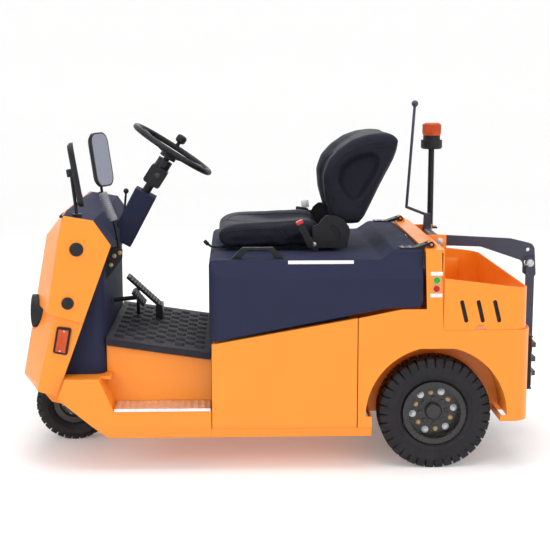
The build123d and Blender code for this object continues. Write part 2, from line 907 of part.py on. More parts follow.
# Steering wheel with three spokes, its spinner knob and its shaft
hub_disc = 66
hub_drop = 26
hub_height = 30
spoke_count = 3
spoke_width = 26
spoke_height = 9
spoke_sink = 8
shaft_length = 160
knob_turn = 178
knob_stem = 12
knob_stem_diameter = 16
knob_diameter = 42
knob_height = 34
knob_radius = 12
knob_sink = 1

ring_radius = (steering_wheel_diameter - steering_rim_diameter) / 2
ring = revolve(Plane.XZ * Pos(ring_radius, 0) * Circle(steering_rim_diameter / 2), axis=Axis.Z)
wheel = ring + Pos(0, 0, -hub_drop) * Cylinder(hub_disc / 2, hub_height)
spoke_start = hub_disc / 2 - spoke_sink
spoke_run = ring_radius - spoke_start
spoke = Box(hypot(hub_drop, spoke_run), spoke_width, spoke_height)
spoke = Rot(0, -degrees(atan2(hub_drop, spoke_run)), 0) * spoke
spoke = Pos(spoke_start + spoke_run / 2, 0, -hub_drop / 2) * spoke
for turn in range(spoke_count):
    wheel += Rot(0, 0, turn * 360 / spoke_count) * spoke
wheel += Pos(0, 0, -hub_drop - shaft_length / 2) * Cylinder(steering_shaft_diameter / 2, shaft_length)
knob_foot = steering_rim_diameter / 2 - knob_sink
knob = Pos(0, 0, knob_foot + knob_stem / 2) * Cylinder(knob_stem_diameter / 2, knob_stem)
ball = Cylinder(knob_diameter / 2, knob_height)
knob += Pos(0, 0, knob_foot + knob_stem + knob_height / 2) * fillet(ball.edges(), knob_radius)
wheel += Rot(0, 0, knob_turn) * Pos(ring_radius, 0, 0) * knob
nodes["steering_wheel"] = Plane(origin=wheel_centre, x_dir=(0, 1, 0), z_dir=column_axis) * wheel

# Hand brake and direction lever
brake_arm = 14
grip_diameter = 27
grip_radius = 7
brake_plate_low = 690
brake_plate_high = 795
brake_plate_rows = [(-38, 812), (-60, 800), (-59, 765)]
brake_pivot = (-50, 780)
brake_knee = (-43, 850)
grip_foot = (-31, 905)
grip_head = (9, 1012)
direction_y = -150
direction_foot = (-28, 851)
direction_head = (-41, 980)
direction_diameter = 9
direction_ball = 22

brake_y = half_width - brake_inset


def near_shield(place, y):
    """Point given by its distance from the leg shield and its height."""
    return (leg_x + place[0], y, place[1])


brake_corners = [(leg_x, brake_plate_low), (leg_x, brake_plate_high)]
brake_corners += [(leg_x + along, height) for along, height in brake_plate_rows]
brake = side_outline(brake_corners, brake_y - brake_arm / 2, brake_y + brake_arm / 2)
brake += rod(near_shield(brake_pivot, brake_y), near_shield(brake_knee, brake_y), brake_arm)
brake += rod(near_shield(brake_knee, brake_y), near_shield(grip_foot, brake_y), brake_arm)
grip = rod(near_shield(grip_foot, brake_y), near_shield(grip_head, brake_y), grip_diameter)
brake += fillet(grip.edges(), grip_radius)
direction = rod(near_shield(direction_foot, direction_y), near_shield(direction_head, direction_y),
                direction_diameter)
direction += Pos(*near_shield(direction_head, direction_y)) * Sphere(direction_ball / 2)
nodes["hand_levers"] = (brake - dash) + (direction - dash)

# Drive pedal hinged at its heel, and the brake pedal on its arm
pedal_y = -150
pedal_half_width = 45
pedal_plate = 10
pedal_foot_back = 347
pedal_head_back = 207
pedal_foot_rise = 45
pedal_rise = 130
heel_ahead = 12
heel_half_length = 14
strut_behind = 40
strut_diameter = 14
strut_drop = 36
pad_back = 263
pad_height = 570
pad_lean = 50
pad_length = 70
pad_width = 100
pad_plate = 12
pad_arm_diameter = 18
pad_arm_drop = 10

pedal_foot = (back(pedal_foot_back), mat_top(back(pedal_foot_back)) + pedal_foot_rise)
pedal_head = (back(pedal_head_back), pedal_foot[1] + pedal_rise)
pedal_run = pedal_head[0] - pedal_foot[0]
pedal = Box(hypot(pedal_run, pedal_rise), 2 * pedal_half_width, pedal_plate)
pedal = Rot(0, -degrees(atan2(pedal_rise, pedal_run)), 0) * pedal
pedal = Pos((pedal_foot[0] + pedal_head[0]) / 2, pedal_y, (pedal_foot[1] + pedal_head[1]) / 2) * pedal
heel_x = pedal_foot[0] + heel_ahead
pedal += block(heel_x - heel_half_length, heel_x + heel_half_length, pedal_y - pedal_half_width,
               pedal_y + pedal_half_width, mat_top(heel_x - heel_half_length), pedal_foot[1] + heel_half_length)
strut_x = pedal_head[0] - strut_behind
strut_top = pedal_head[1] - strut_drop
pedal += rod((strut_x, pedal_y, mat_top(strut_x)), (strut_x, pedal_y, strut_top), strut_diameter)
pedal -= side_outline(
    [(floor_rear_x, 0), (leg_x, 0), (leg_x, mat_top(leg_x)), (floor_rear_x, mat_top(floor_rear_x))],
    -half_width, half_width,
)
pad = Pos(back(pad_back), 0, pad_height) * Rot(0, -pad_lean, 0) * Box(pad_length, pad_width, pad_plate)
pad += rod((back(pad_back), 0, pad_height), (leg_x, 0, pad_height - pad_arm_drop), pad_arm_diameter)
nodes["pedals"] = pedal + (pad - leg_shield)

# Mirrors on their stems
mirror_root_back = 80
mirror_knee_back = 62
mirror_knee_height = 1098
stem_diameter = 12
stem_ball = 22
stem_foot_diameter = 34
stem_foot_height = 10
head_back = 86
head_height = 1091
head_tall = 230
head_wide = 140
head_thick = 22
head_radius = 45
head_edge = 9
head_lip = 6
glass_thick = 4
head_lean = 9
left_yaw = 7
right_yaw = 24

mirror_y = half_width - mirror_inset
head_y = half_width - mirror_head_inset
root_x = back(mirror_root_back)
dash_fall = (dash_top[1] - dash_corner[1]) / (dash_top[0] - dash_corner[0])
root_z = dash_front_z - (dash_top[0] - root_x) * dash_fall


def mirror_stem(side):
    """Stem with its foot on the dash and its arm to the mirror head."""
    root = (root_x, side * mirror_y, root_z)
    knee = (back(mirror_knee_back), side * mirror_y, mirror_knee_height)
    reach = (back(head_back) + head_thick / 2, side * head_y, head_height)
    stem = rod(root, knee, stem_diameter) + rod(knee, reach, stem_diameter)
    stem += Pos(*knee) * Sphere(stem_ball / 2)
    stem += rod(root, (root_x, side * mirror_y, root_z + dash_wall / 2 + stem_foot_height), stem_foot_diameter)
    return stem - dash - dash_room


def mirror_face(inset):
    """Rounded outline of a mirror, smaller all round by the inset."""
    return fillet(Rectangle(head_wide - 2 * inset, head_tall - 2 * inset).vertices(), head_radius - inset)


def mirror_head(side, yaw):
    """Rounded mirror housing, turned towards the driver, and its glass."""
    body = extrude(mirror_face(0), amount=head_thick)
    body = chamfer(body.edges().group_by(Axis.Z)[-1], head_edge)
    body -= extrude(mirror_face(head_lip), amount=glass_thick)
    pane = extrude(mirror_face(head_lip + bead_slack), amount=glass_thick)
    facing = Plane(origin=(0, 0, 0), x_dir=(0, 1, 0), z_dir=(1, 0, 0)).location
    spot = Pos(back(head_back), side * head_y, head_height) * Rot(0, 0, yaw * side)
    spot = spot * Rot(0, head_lean, 0) * facing
    return spot * body, spot * pane


left_head, left_glass = mirror_head(1, left_yaw)
right_head, right_glass = mirror_head(-1, right_yaw)
nodes["mirrors"] = Part() + [
    left_head + (mirror_stem(1) - left_glass), right_head + (mirror_stem(-1) - right_glass)
]
nodes["mirror_glasses"] = Part() + [left_glass, right_glass]

# Battery hood, an open shell hinged at its rear edge
hood_wall = 5
hood_set_in = 1
hood_front_low = 488
hood_rear_low = 612
hood_bend_ahead = 176
ramp_front_ahead = 206
ramp_rear_ahead = 156
hood_corner = 45
hood_nose_radius = 22
hood_rear_radius = 10
hood_tail_radius = 25
ramp_radius = 30
fold_radius = 25
top_radius = 16
hood_room_drop = 200

hood_side = half_width - hood_set_in
hood_top_y = half_width - hood_top_inset


def hood_form(inset):
    """Outer form of the hood, smaller all round by the inset and then open below."""
    drop = hood_room_drop if inset else 0
    tail = 0 if inset else hood_tail_radius
    front = hood_front_x - inset
    rear = hood_rear_x + inset
    side_y = hood_side - inset
    top_y = hood_top_y - inset
    low = hood_top - inset
    high = hump_top - inset
    profile = softened(
        [
            (rear, hood_rear_low - drop, tail),
            (ahead(hood_bend_ahead), hood_rear_low - drop, 0),
            (front, hood_front_low - drop, 0),
            (front, low, hood_nose_radius - inset),
            (ahead(ramp_front_ahead), low, ramp_radius),
            (ahead(ramp_rear_ahead), high, ramp_radius),
            (rear, high, hood_rear_radius - inset),
        ]
    )
    section = softened(
        [
            (-side_y, 0, 0),
            (side_y, 0, 0),
            (side_y, hood_fold, fold_radius - inset),
            (top_y, high, top_radius - inset),
            (-top_y, high, top_radius - inset),
            (-side_y, hood_fold, fold_radius - inset),
        ]
    )
    plan = Pos((rear + front) / 2, 0) * Rectangle(front - rear, 2 * side_y)
    plan = fillet(plan.vertices().sort_by(Axis.X)[-2:], hood_corner - inset)
    form = along_y(profile, -hood_side, hood_side) & along_x(section, rear, front)
    return form & extrude(plan, amount=hump_top)


nodes["battery_hood"] = hood_form(0) - hood_form(hood_wall)

# Strap hinges of the hood
hinge_half_width = 25
hinge_fixed_half = 11
hinge_pin_diameter = 9
knuckle_outer = 22
strap_length = 115
strap_thick = 5
strap_slope = 60
strap_root = 34
hinge_side_gap = 2
hinge_end_gap = 21
ear_rear = 20
ear_front = 14

hinge_y = half_width - hinge_inset
hinge_top = hinge_height + knuckle_outer / 2
ear = cross_pin(hinge_x, hinge_height, knuckle_outer, hinge_y - hinge_fixed_half, hinge_y + hinge_fixed_half)
ear += block(hinge_x - ear_rear, hinge_x + ear_front, hinge_y - hinge_fixed_half, hinge_y + hinge_fixed_half,
             pillar_top, hinge_height)
hinge_from = hinge_y - hinge_half_width
hinge_to = hinge_y + hinge_half_width
ear += cross_pin(hinge_x, hinge_height, hinge_pin_diameter, hinge_from, hinge_to)
bulkhead += pair(ear)

fixed_room = hinge_fixed_half + hinge_side_gap
strap = cross_pin(hinge_x, hinge_height, knuckle_outer, hinge_from, hinge_to)
strap += block(hood_rear_x, hinge_x + strap_length, hinge_from, hinge_to, hump_top, hump_top + strap_thick)
strap += side_outline(
    [
        (hinge_x, hinge_height),
        (hinge_x + strap_thick, hinge_top - hinge_side_gap),
        (hinge_x + strap_slope, hump_top + strap_thick),
        (hinge_x + strap_slope, hump_top),
        (hinge_x + strap_root, hump_top),
    ],
    hinge_from, hinge_to,
)
strap -= block(rear_x, hood_rear_x, hinge_from, hinge_to, hood_fold, hump_top + hinge_side_gap)
strap -= block(rear_x, hinge_x + hinge_end_gap, hinge_y - fixed_room, hinge_y + fixed_room,
               hood_fold, hinge_top)
strap -= cross_pin(hinge_x, hinge_height, hinge_pin_diameter + 2 * running_clearance, hinge_from, hinge_to)

# Grab handles, arches with broad feet
handle_front_gap = 81
handle_length = 193
handle_slope = 41
handle_rise = 42
handle_bar = 9
handle_foot = 33
handle_head = 20
handle_radius = 6
handle_half_width = 11

handle_y = half_width - handle_inset
handle_rear_x = hood_front_x - handle_front_gap - handle_length
handle_eave = handle_slope + handle_head
handle_rows = [
    (0, 0, 0),
    (handle_slope, handle_rise, handle_radius),
    (handle_length - handle_slope, handle_rise, handle_radius),
    (handle_length, 0, 0),
    (handle_length - handle_foot, 0, 0),
    (handle_length - handle_eave, handle_rise - handle_bar, handle_radius),
    (handle_eave, handle_rise - handle_bar, handle_radius),
    (handle_foot, 0, 0),
]
handle = along_y(softened(handle_rows, handle_rear_x, hood_top), handle_y - handle_half_width,
                 handle_y + handle_half_width)
nodes["hood_fittings"] = pair(handle) + pair(strap)

# Seat, drawn from the rear axle and the top of the hood
rail_height = 14
rail_y = 150
rail_half_width = 18
rail_rear = 370
rail_front = 770
pan_plate = 8
pan_half_width = 200
pan_rear = 330
pan_front = 780
cushion_rows = [(800, 0, 20), (806, 45, 30), (770, 76, 50), (440, 94, 40), (400, 70, 25), (400, 0, 10)]
cushion_edge = 18
back_rows = [(372, 120, 0), (404, 250, 90), (330, 395, 90), (200, 448, 90), (112, 437, 30), (122, 365, 30),
             (262, 101, 30), (330, 95, 0)]
back_trim = 5
pocket_rows = [(331, 312), (276, 356), (216, 367), (197, 349), (199, 312), (265, 202), (292, 192),
               (325, 223), (342, 255)]
pocket_radius = 12
pocket_depth = 35

rail_top = hood_top + rail_height
pan_top = rail_top + pan_plate
seat_base = pair(block(ahead(rail_rear), ahead(rail_front), rail_y - rail_half_width, rail_y + rail_half_width,
                       hood_top, rail_top))
seat_base += block(ahead(pan_rear), ahead(pan_front), -pan_half_width, pan_half_width, rail_top, pan_top)

cushion = along_y(softened(cushion_rows, rear_x, pan_top), -seat_half_width, seat_half_width)
cushion_sides = cushion.faces().sort_by(Axis.Y)
cushion_rims = cushion_sides[0].edges() + cushion_sides[-1].edges()
nodes["seat_cushion"] = fillet(cushion_rims.filter_by(lambda edge: edge.center().Z > pan_top + 1), cushion_edge)

back_half_width = seat_half_width - back_trim
backrest = along_y(softened(back_rows, rear_x, hood_top), -back_half_width, back_half_width)
pocket_face = softened([(*row, pocket_radius) for row in pocket_rows], rear_x, hood_top)
pocket = along_y(pocket_face, back_half_width - pocket_depth, back_half_width)
nodes["seat_back"] = backrest - pair(pocket)

# Side brackets that carry the backrest
bracket_gap = 1
bracket_plate = 6
bracket_rows = [(444, 95, 8), (417, 105, 12), (410, 120, 10), (388, 138, 16), (354, 135, 20), (324, 120, 20),
                (305, 95, 20), (300, 75, 20), (312, 14, 0), (427, 14, 0), (441, 55, 20)]
recess_arc = [(368, 90), (349, 65), (383, 22)]
recess_width = 22
recess_depth = 3
bracket_tab_rear = 330
bracket_tab_front = 420
back_pin = (341, 104)
back_pin_diameter = 24

bracket_y = seat_half_width + bracket_gap
bracket_out = bracket_y + bracket_plate
bracket = along_y(softened(bracket_rows, rear_x, hood_top), bracket_y, bracket_out)
kidney = ThreePointArc(*[(ahead(along), hood_top + height) for along, height in recess_arc])
bracket -= along_y(SlotArc(kidney, recess_width), bracket_out - recess_depth, bracket_out)
bracket += block(ahead(bracket_tab_rear), ahead(bracket_tab_front), pan_half_width, bracket_y,
                 rail_top, pan_top)
bracket += cross_pin(ahead(back_pin[0]), hood_top + back_pin[1], back_pin_diameter, back_half_width, bracket_y)
seat_base += pair(bracket)

# Seat slide lever
slide_height = 7
slide_rod = 9
slide_rear = 750
slide_knee = 826
slide_front = 850
slide_rise = 28
slide_places = [(ahead(slide_rear), rail_y, hood_top + slide_height),
                (ahead(slide_knee), rail_y, hood_top + slide_height),
                (ahead(slide_front), rail_y, hood_top + slide_rise)]
seat_base += rod(slide_places[0], slide_places[1], slide_rod) + rod(slide_places[1], slide_places[2], slide_rod)
nodes["seat_base"] = seat_base

# Seat belt: buckle on the left, reel on the right
buckle_ahead = 471
buckle_rise = 70
buckle_lean = 26
buckle_size = (26, 24, 104)
buckle_radius = 6
buckle_foot = (436, 28)
buckle_plate = 42
buckle_plate_thick = 5
buckle_plate_turn = 20
reel_rear = 330
reel_front = 400
reel_low = 21
reel_high = 101
reel_width = 50
reel_radius = 14

buckle_y = bracket_out + buckle_size[1] / 2
buckle = Pos(ahead(buckle_ahead), buckle_y, hood_top + buckle_rise) * Rot(0, buckle_lean, 0) * Box(*buckle_size)
buckle = fillet(buckle.edges().filter_by(Axis.Y), buckle_radius)
plate = Pos(ahead(buckle_foot[0]), hood_top + buckle_foot[1]) * Rectangle(buckle_plate, buckle_plate,
                                                                         rotation=buckle_plate_turn)
buckle += along_y(plate, bracket_out, bracket_out + buckle_plate_thick)
reel = block(ahead(reel_rear), ahead(reel_front), -bracket_out - reel_width, -bracket_out,
             hood_top + reel_low, hood_top + reel_high)
nodes["seat_belt"] = buckle + fillet(reel.edges().filter_by(Axis.Y), reel_radius)

# Tow hitch with three plates
hitch_half_width = 55
hitch_back_plate = 16
hitch_back_half = 90
hitch_back_reach = 25
hitch_levels = 3
hitch_web = 30
hitch_pin_room = 2

hitch_top = hitch_bottom + hitch_levels * hitch_plate + (hitch_levels - 1) * hitch_gap
hitch_x = rear_wall_x - hitch_back_plate
tail_x = ahead(-rear_overhang)
hitch = block(hitch_x, rear_wall_x, -hitch_back_half, hitch_back_half,
              hitch_bottom - hitch_back_reach, hitch_top + hitch_back_reach)
tongue = Pos((hitch_x + link_x) / 2, 0) * Rectangle(hitch_x - link_x, 2 * hitch_half_width)
tongue += Pos(link_x, 0) * Circle(hitch_half_width)
tongue &= Pos((hitch_x + tail_x) / 2, 0) * Rectangle(hitch_x - tail_x, 2 * hitch_half_width)
for level in range(hitch_levels):
    hitch += extrude(Pos(0, 0, hitch_bottom + level * (hitch_plate + hitch_gap)) * tongue, amount=hitch_plate)
hitch += block(hitch_x - hitch_web, hitch_x, -hitch_half_width, hitch_half_width, hitch_bottom, hitch_top)
nodes["tow_hitch"] = hitch - rod((link_x, 0, 0), (link_x, 0, hitch_top), tow_pin_diameter + hitch_pin_room)

# Release lever: cross tube, arm with its slot, stick and knob
tube_left = 40
tube_past_stick = 20
arm_by_pivot_above = [(13, 22, 0), (-292, 5, 60)]
arm_by_link = [(-17, 75, 30), (-26, -49, 10), (-11, -63, 10), (27, -42, 10), (27, 7, 25)]
arm_by_pivot_below = [(-171, -27, 60), (-58, -23, 20), (13, -22, 0)]
spare_hole = (8, 53)
slot_play = 14
slot_room = 2.6
stick_foot = 17
stick_shoulder = 14
stick_plate_top = 77
stick_root_rise = 69
stick_bend = (88, 103)
stick_top = (60, 532)
knob_ball_diameter = 28

tube_right = -stick_side - tube_past_stick
pivot_place = (pivot_x, lever_pivot_height)
link_place = (link_x, link_bolt_height)


def shifted(rows, place):
    """Outline rows moved to start from a place."""
    return [(place[0] + along, place[1] + height, radius) for along, height, radius in rows]


arm_rows = shifted(arm_by_pivot_above, pivot_place) + shifted(arm_by_link, link_place)
arm_rows += shifted(arm_by_pivot_below, pivot_place)
lever = cross_pin(pivot_x, lever_pivot_height, lever_tube_diameter, tube_right, tube_left)
lever += along_y(softened(arm_rows), -lever_plate / 2, lever_plate / 2)
lever += side_outline(
    [
        (pivot_x + stick_foot, lever_pivot_height),
        (pivot_x - stick_foot, lever_pivot_height),
        (pivot_x - stick_shoulder, lever_pivot_height + stick_plate_top),
        (pivot_x + stick_shoulder, lever_pivot_height + stick_plate_top),
    ],
    -stick_side - lever_plate / 2, -stick_side + lever_plate / 2,
)
stick_places = [(pivot_x + along, -stick_side, lever_pivot_height + height)
                for along, height in ((0, stick_root_rise), stick_bend, stick_top)]
lever += rod(stick_places[0], stick_places[1], stick_diameter)
lever += Pos(*stick_places[1]) * Sphere(stick_diameter / 2)
lever += rod(stick_places[1], stick_places[2], stick_diameter)
lever += Pos(*stick_places[2]) * Sphere(knob_ball_diameter / 2)
lever -= cross_pin(pivot_x, lever_pivot_height, lever_pin_diameter + 2 * running_clearance,
                   -half_width, half_width)
arm_angle = atan2(lever_pivot_height - link_bolt_height, pivot_x - link_x)
bolt_slot = SlotCenterToCenter(slot_play, link_bolt_diameter + slot_room, rotation=degrees(arm_angle))
slot_shift = slot_play / 2
slot_place = Pos(link_x + slot_shift * cos(arm_angle), link_bolt_height + slot_shift * sin(arm_angle))
lever -= along_y(slot_place * bolt_slot, -lever_plate, lever_plate)
lever -= cross_pin(link_x + spare_hole[0], link_bolt_height + spare_hole[1], spare_hole_diameter,
                   -lever_plate, lever_plate)
nodes["release_lever"] = lever

# Brackets of the lever, with its pivot pin
ear_plate = 8
ear_gap = 3
ear_back = 26

ear_foot = min(lever_pivot_height, pillar_top - ear_back) - ear_back
ear_left = tube_left + ear_gap
ear_right = tube_right - ear_gap
bulkhead += cross_pin(pivot_x, lever_pivot_height, lever_pin_diameter,
                      ear_right - ear_plate, ear_left + ear_plate)
for ear_from in (ear_left, ear_right - ear_plate):
    bulkhead += block(pivot_x - ear_back, box_front_x, ear_from, ear_from + ear_plate,
                      ear_foot, lever_pivot_height + ear_back)
nodes["bulkhead"] = bulkhead

# Tow pin with its flat link and bolt
link_thick = 10
link_width = 34
link_top_reach = 24
link_overlap = 20
link_gap = 2
pin_top = 420
pin_below = 8
bolt_end = 12
bolt_head = 12
bolt_head_gap = 4

link_y = lever_plate / 2 + link_gap
bolt_y = -lever_plate / 2 - bolt_end
link = block(link_x - link_width / 2, link_x + link_width / 2, link_y, link_y + link_thick,
             pin_top - link_overlap, link_bolt_height + link_top_reach)
link += cross_pin(link_x, link_bolt_height, link_bolt_diameter, bolt_y, link_y)
link += cross_pin(link_x, link_bolt_height, link_bolt_diameter + bolt_head,
                  bolt_y, -lever_plate / 2 - bolt_head_gap)
link += rod((link_x, 0, hitch_bottom - pin_below), (link_x, 0, pin_top), tow_pin_diameter)
nodes["tow_pin"] = link

# Beacon on its pole
pole_behind = 98
pole_diameter = 25
pole_foot = 806
pole_top = 1136
shelf_plate = 6
shelf_half_width = 28
base_diameter = 90
base_height = 38
base_bevel = 6
collar_diameter = 72
collar_height = 19
dome_diameter = 76
dome_height = 53
dome_radius = 12

pole_x = ahead(-pole_behind)
pole_y = beacon_inset - half_width


def on_pole(low, high, diameter):
    """Round piece on the axis of the beacon pole."""
    return rod((pole_x, pole_y, low), (pole_x, pole_y, high), diameter)


base_top = pole_top + base_height
dome_foot = base_top + collar_height
base = on_pole(pole_top, base_top, base_diameter)
pole = on_pole(pole_foot, pole_top, pole_diameter) + chamfer(base.edges().group_by(Axis.Z)[0], base_bevel)
pole += on_pole(base_top, dome_foot, collar_diameter)
pole += block(pole_x - shelf_half_width, box_front_x, pole_y - shelf_half_width, pole_y + shelf_half_width,
              pole_foot - shelf_plate, pole_foot)
nodes["beacon_pole"] = pole
dome = on_pole(dome_foot, dome_foot + dome_height, dome_diameter)
nodes["beacon_lens"] = fillet(dome.edges().group_by(Axis.Z)[-1], dome_radius)

# Tail lamps and push buttons
tail_lamp_depth = 20
tail_lamp_width = 80
tail_lamp_low = 292
tail_lamp_high = 483
tail_lamp_bevel = 6
button_diameter = 22
button_proud = 5
button_places = [(8, 712), (9, 681)]

tail_lamp_y = half_width - tail_lamp_inset
tail_lamp = block(rear_wall_x - tail_lamp_depth, rear_wall_x, tail_lamp_y - tail_lamp_width, tail_lamp_y,
                  tail_lamp_low, tail_lamp_high)
nodes["tail_lamps"] = pair(chamfer(tail_lamp.edges().group_by(Axis.X)[0], tail_lamp_bevel))
nodes["push_buttons"] = Part() + [
    cross_pin(ahead(along), height, button_diameter, half_width, half_width + button_proud)
    for along, height in button_places
]

os.makedirs("parts", exist_ok=True)
for name, shape in nodes.items():
    export_step(shape, f"parts/{name}.step")
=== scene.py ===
# %% [markdown]
# This notebook dresses an airport baggage tug. Its panels, wheels and levers come from the packed
# CAD model and stay where they are. Each step below adds a finish, a soft piece or a small fitting,
# and says why it is made that way.

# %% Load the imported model
import json
import math

import bmesh
import bpy
from mathutils import Matrix, Vector
from mathutils.bvhtree import BVHTree


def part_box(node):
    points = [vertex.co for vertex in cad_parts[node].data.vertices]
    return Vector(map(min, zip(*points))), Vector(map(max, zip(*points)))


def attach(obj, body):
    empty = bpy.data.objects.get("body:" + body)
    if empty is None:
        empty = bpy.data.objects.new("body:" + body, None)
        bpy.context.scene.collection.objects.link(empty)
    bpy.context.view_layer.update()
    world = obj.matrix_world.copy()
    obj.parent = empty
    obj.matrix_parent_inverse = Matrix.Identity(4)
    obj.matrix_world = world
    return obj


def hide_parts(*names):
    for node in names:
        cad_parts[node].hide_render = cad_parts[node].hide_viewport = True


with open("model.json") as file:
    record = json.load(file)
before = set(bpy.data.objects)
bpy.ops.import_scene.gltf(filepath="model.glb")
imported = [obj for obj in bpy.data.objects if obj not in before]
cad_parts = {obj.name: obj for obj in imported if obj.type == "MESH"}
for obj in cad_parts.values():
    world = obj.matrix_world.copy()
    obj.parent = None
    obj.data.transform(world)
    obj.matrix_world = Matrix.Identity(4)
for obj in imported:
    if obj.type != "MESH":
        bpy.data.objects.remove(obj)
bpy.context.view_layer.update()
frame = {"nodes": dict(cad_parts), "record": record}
scene = bpy.context.scene
rear_x = -0.53
front_x = 0.85

# %% [markdown]
# The tug was photographed from its left with a long lens, a little above seat height. A lens of
# about 81 mm on a 36 mm sensor keeps both wheels nearly round, so the camera copies that.

# %% Camera
lens_data = bpy.data.cameras.new("side_camera")
lens_data.sensor_width = 36
lens_data.lens = 80.7
camera = bpy.data.objects.new("side_camera", lens_data)
camera.location = (0.205, 4.851, 1.432)
camera.rotation_euler = Vector((-0.0324, -0.9869, -0.1578)).to_track_quat("-Z", "Y").to_euler()
scene.collection.objects.link(camera)
scene.camera = camera
print("camera", tuple(round(v, 3) for v in camera.location))

# %% [markdown]
# Most fittings are turned, drawn along a path or cut from a block, as in a workshop. These helpers
# make such meshes in their final place, so that every object can stay at the origin.


# %% Skins, spins and tubes
def mesh_from(bm, name):
    """Plain mesh from a bmesh, with its normals outwards."""
    bmesh.ops.recalc_face_normals(bm, faces=bm.faces)
    mesh = bpy.data.meshes.new(name)
    bm.to_mesh(mesh)
    bm.free()
    for face in mesh.polygons:
        face.use_smooth = True
    return mesh


def soft_edges(mesh, angle=35):
    """Smooth shading that keeps the hard corners."""
    mesh.set_sharp_from_angle(angle=math.radians(angle))
    return mesh


def lofted(rings, name, loop=False):
    """Skin over closed rings with the same number of points; a loop joins its last ring to its first."""
    bm = bmesh.new()
    rows = [[bm.verts.new(point) for point in ring] for ring in rings]
    count = len(rows[0])
    for low, high in zip(rows, rows[1:] + rows[:1] if loop else rows[1:]):
        for i in range(count):
            j = (i + 1) % count
            bm.faces.new((low[i], low[j], high[j], high[i]))
    if not loop:
        bm.faces.new(list(reversed(rows[0])))
        bm.faces.new(rows[-1])
    return mesh_from(bm, name)


def spun(profile, name, segments=48, loop=False):
    """Surface of a profile of (radius, height) turned about +Z; a loop closes the profile into a hoop."""
    rings = []
    for radius, height in profile:
        turns = [2 * math.pi * i / segments for i in range(segments)]
        rings.append([(radius * math.cos(turn), radius * math.sin(turn), height) for turn in turns])
    return soft_edges(lofted(rings, name, loop))


def tube(points, radius, name, sides=10):
    """Round bar along a path; the radius is one number or one for each point."""
    path = [Vector(point) for point in points]
    sizes = radius if isinstance(radius, list) else [radius] * len(path)
    side = None
    rings = []
    for i, spot in enumerate(path):
        way = (path[min(i + 1, len(path) - 1)] - path[max(i - 1, 0)]).normalized()
        side = way.orthogonal() if side is None else side - way * side.dot(way)
        side.normalize()
        other = way.cross(side)
        turns = [2 * math.pi * k / sides for k in range(sides)]
        rings.append([spot + (side * math.cos(t) + other * math.sin(t)) * sizes[i] for t in turns])
    return soft_edges(lofted(rings, name), 50)


print("skins, spins and tubes ready")


# %% Blocks and places
def block(size, place, name, bevel=0.001):
    """Box with rounded edges, put in place by a matrix."""
    bm = bmesh.new()
    bmesh.ops.create_cube(bm, size=1)
    bmesh.ops.scale(bm, vec=size, verts=bm.verts)
    bmesh.ops.bevel(bm, geom=bm.edges[:], offset=bevel, segments=2, affect="EDGES", profile=0.5)
    bmesh.ops.transform(bm, matrix=place, verts=bm.verts)
    return soft_edges(mesh_from(bm, name))


def facing(place, way):
    """Matrix that stands a piece on a place with its +Z along a way."""
    return Matrix.Translation(place) @ Vector(way).to_track_quat("Z", "Y").to_matrix().to_4x4()


def leaning(place, degrees):
    """Matrix for a piece at a place, tipped about Y."""
    return Matrix.Translation(place) @ Matrix.Rotation(math.radians(degrees), 4, "Y")


def joined(meshes, name):
    """One mesh from several, with the first one's finish."""
    bm = bmesh.new()
    for mesh in meshes:
        bm.from_mesh(mesh)
    whole = bpy.data.meshes.new(name)
    bm.to_mesh(whole)
    bm.free()
    for material in meshes[0].materials:
        whole.materials.append(material)
    return whole


print("blocks and places ready")

# %% [markdown]
# A photo studio bends its paper floor up into the wall, so that no edge shows. A round bowl does the
# same for every viewing angle. The paper glows a little, because studio paper is lit from all sides.

# %% Studio paper
bowl_profile = [(0.001, 0), (7.5, 0), (8.6, 0.18), (9.4, 0.75), (9.9, 1.7), (10.1, 3.2), (10.1, 6.5)]
bowl = spun(bowl_profile, "studio_bowl", 96)
bowl.flip_normals()
floor = bpy.data.objects.new("studio_bowl", bowl)
scene.collection.objects.link(floor)

paper = bpy.data.materials.new("studio_paper")
paper.use_nodes = True
paper_shader = paper.node_tree.nodes["Principled BSDF"]
paper_shader.inputs["Base Color"].default_value = (0.90, 0.90, 0.90, 1)
paper_shader.inputs["Roughness"].default_value = 0.9
paper_shader.inputs["Emission Color"].default_value = (1, 1, 1, 1)
paper_shader.inputs["Emission Strength"].default_value = 0.16
bowl.materials.append(paper)
print("paper bowl faces", len(bowl.polygons))

# %% [markdown]
# Square softboxes give wide highlights and soft shadows. The largest hangs above, two stand on the
# camera's side and one stands behind, so that no side of the tug goes black when it is turned round.

# %% Studio light
world = bpy.data.worlds.new("studio_air")
world.use_nodes = True
world.node_tree.nodes["Background"].inputs["Color"].default_value = (1, 1, 1, 1)
world.node_tree.nodes["Background"].inputs["Strength"].default_value = 0.13
scene.world = world
scene.view_settings.view_transform = "Standard"


def softbox(name, place, target, width, power):
    """Square studio light that faces a point."""
    data = bpy.data.lights.new(name, "AREA")
    data.shape = "SQUARE"
    data.size = width
    data.energy = power
    lamp = bpy.data.objects.new(name, data)
    lamp.location = place
    lamp.rotation_euler = (Vector(target) - Vector(place)).to_track_quat("-Z", "Y").to_euler()
    scene.collection.objects.link(lamp)


softbox("light_above", place=(0.1, 0.6, 4.6), target=(0, 0, 0.5), width=3.4, power=92)
softbox("light_front", place=(3.4, 4.2, 2.6), target=(0.1, 0, 0.6), width=2.2, power=58)
softbox("light_rear", place=(-3.6, 3.4, 2.4), target=(-0.2, 0, 0.6), width=2.2, power=36)
softbox("light_far", place=(0.5, -4.5, 3.2), target=(0, 0, 0.6), width=3.0, power=26)
print("studio ready")

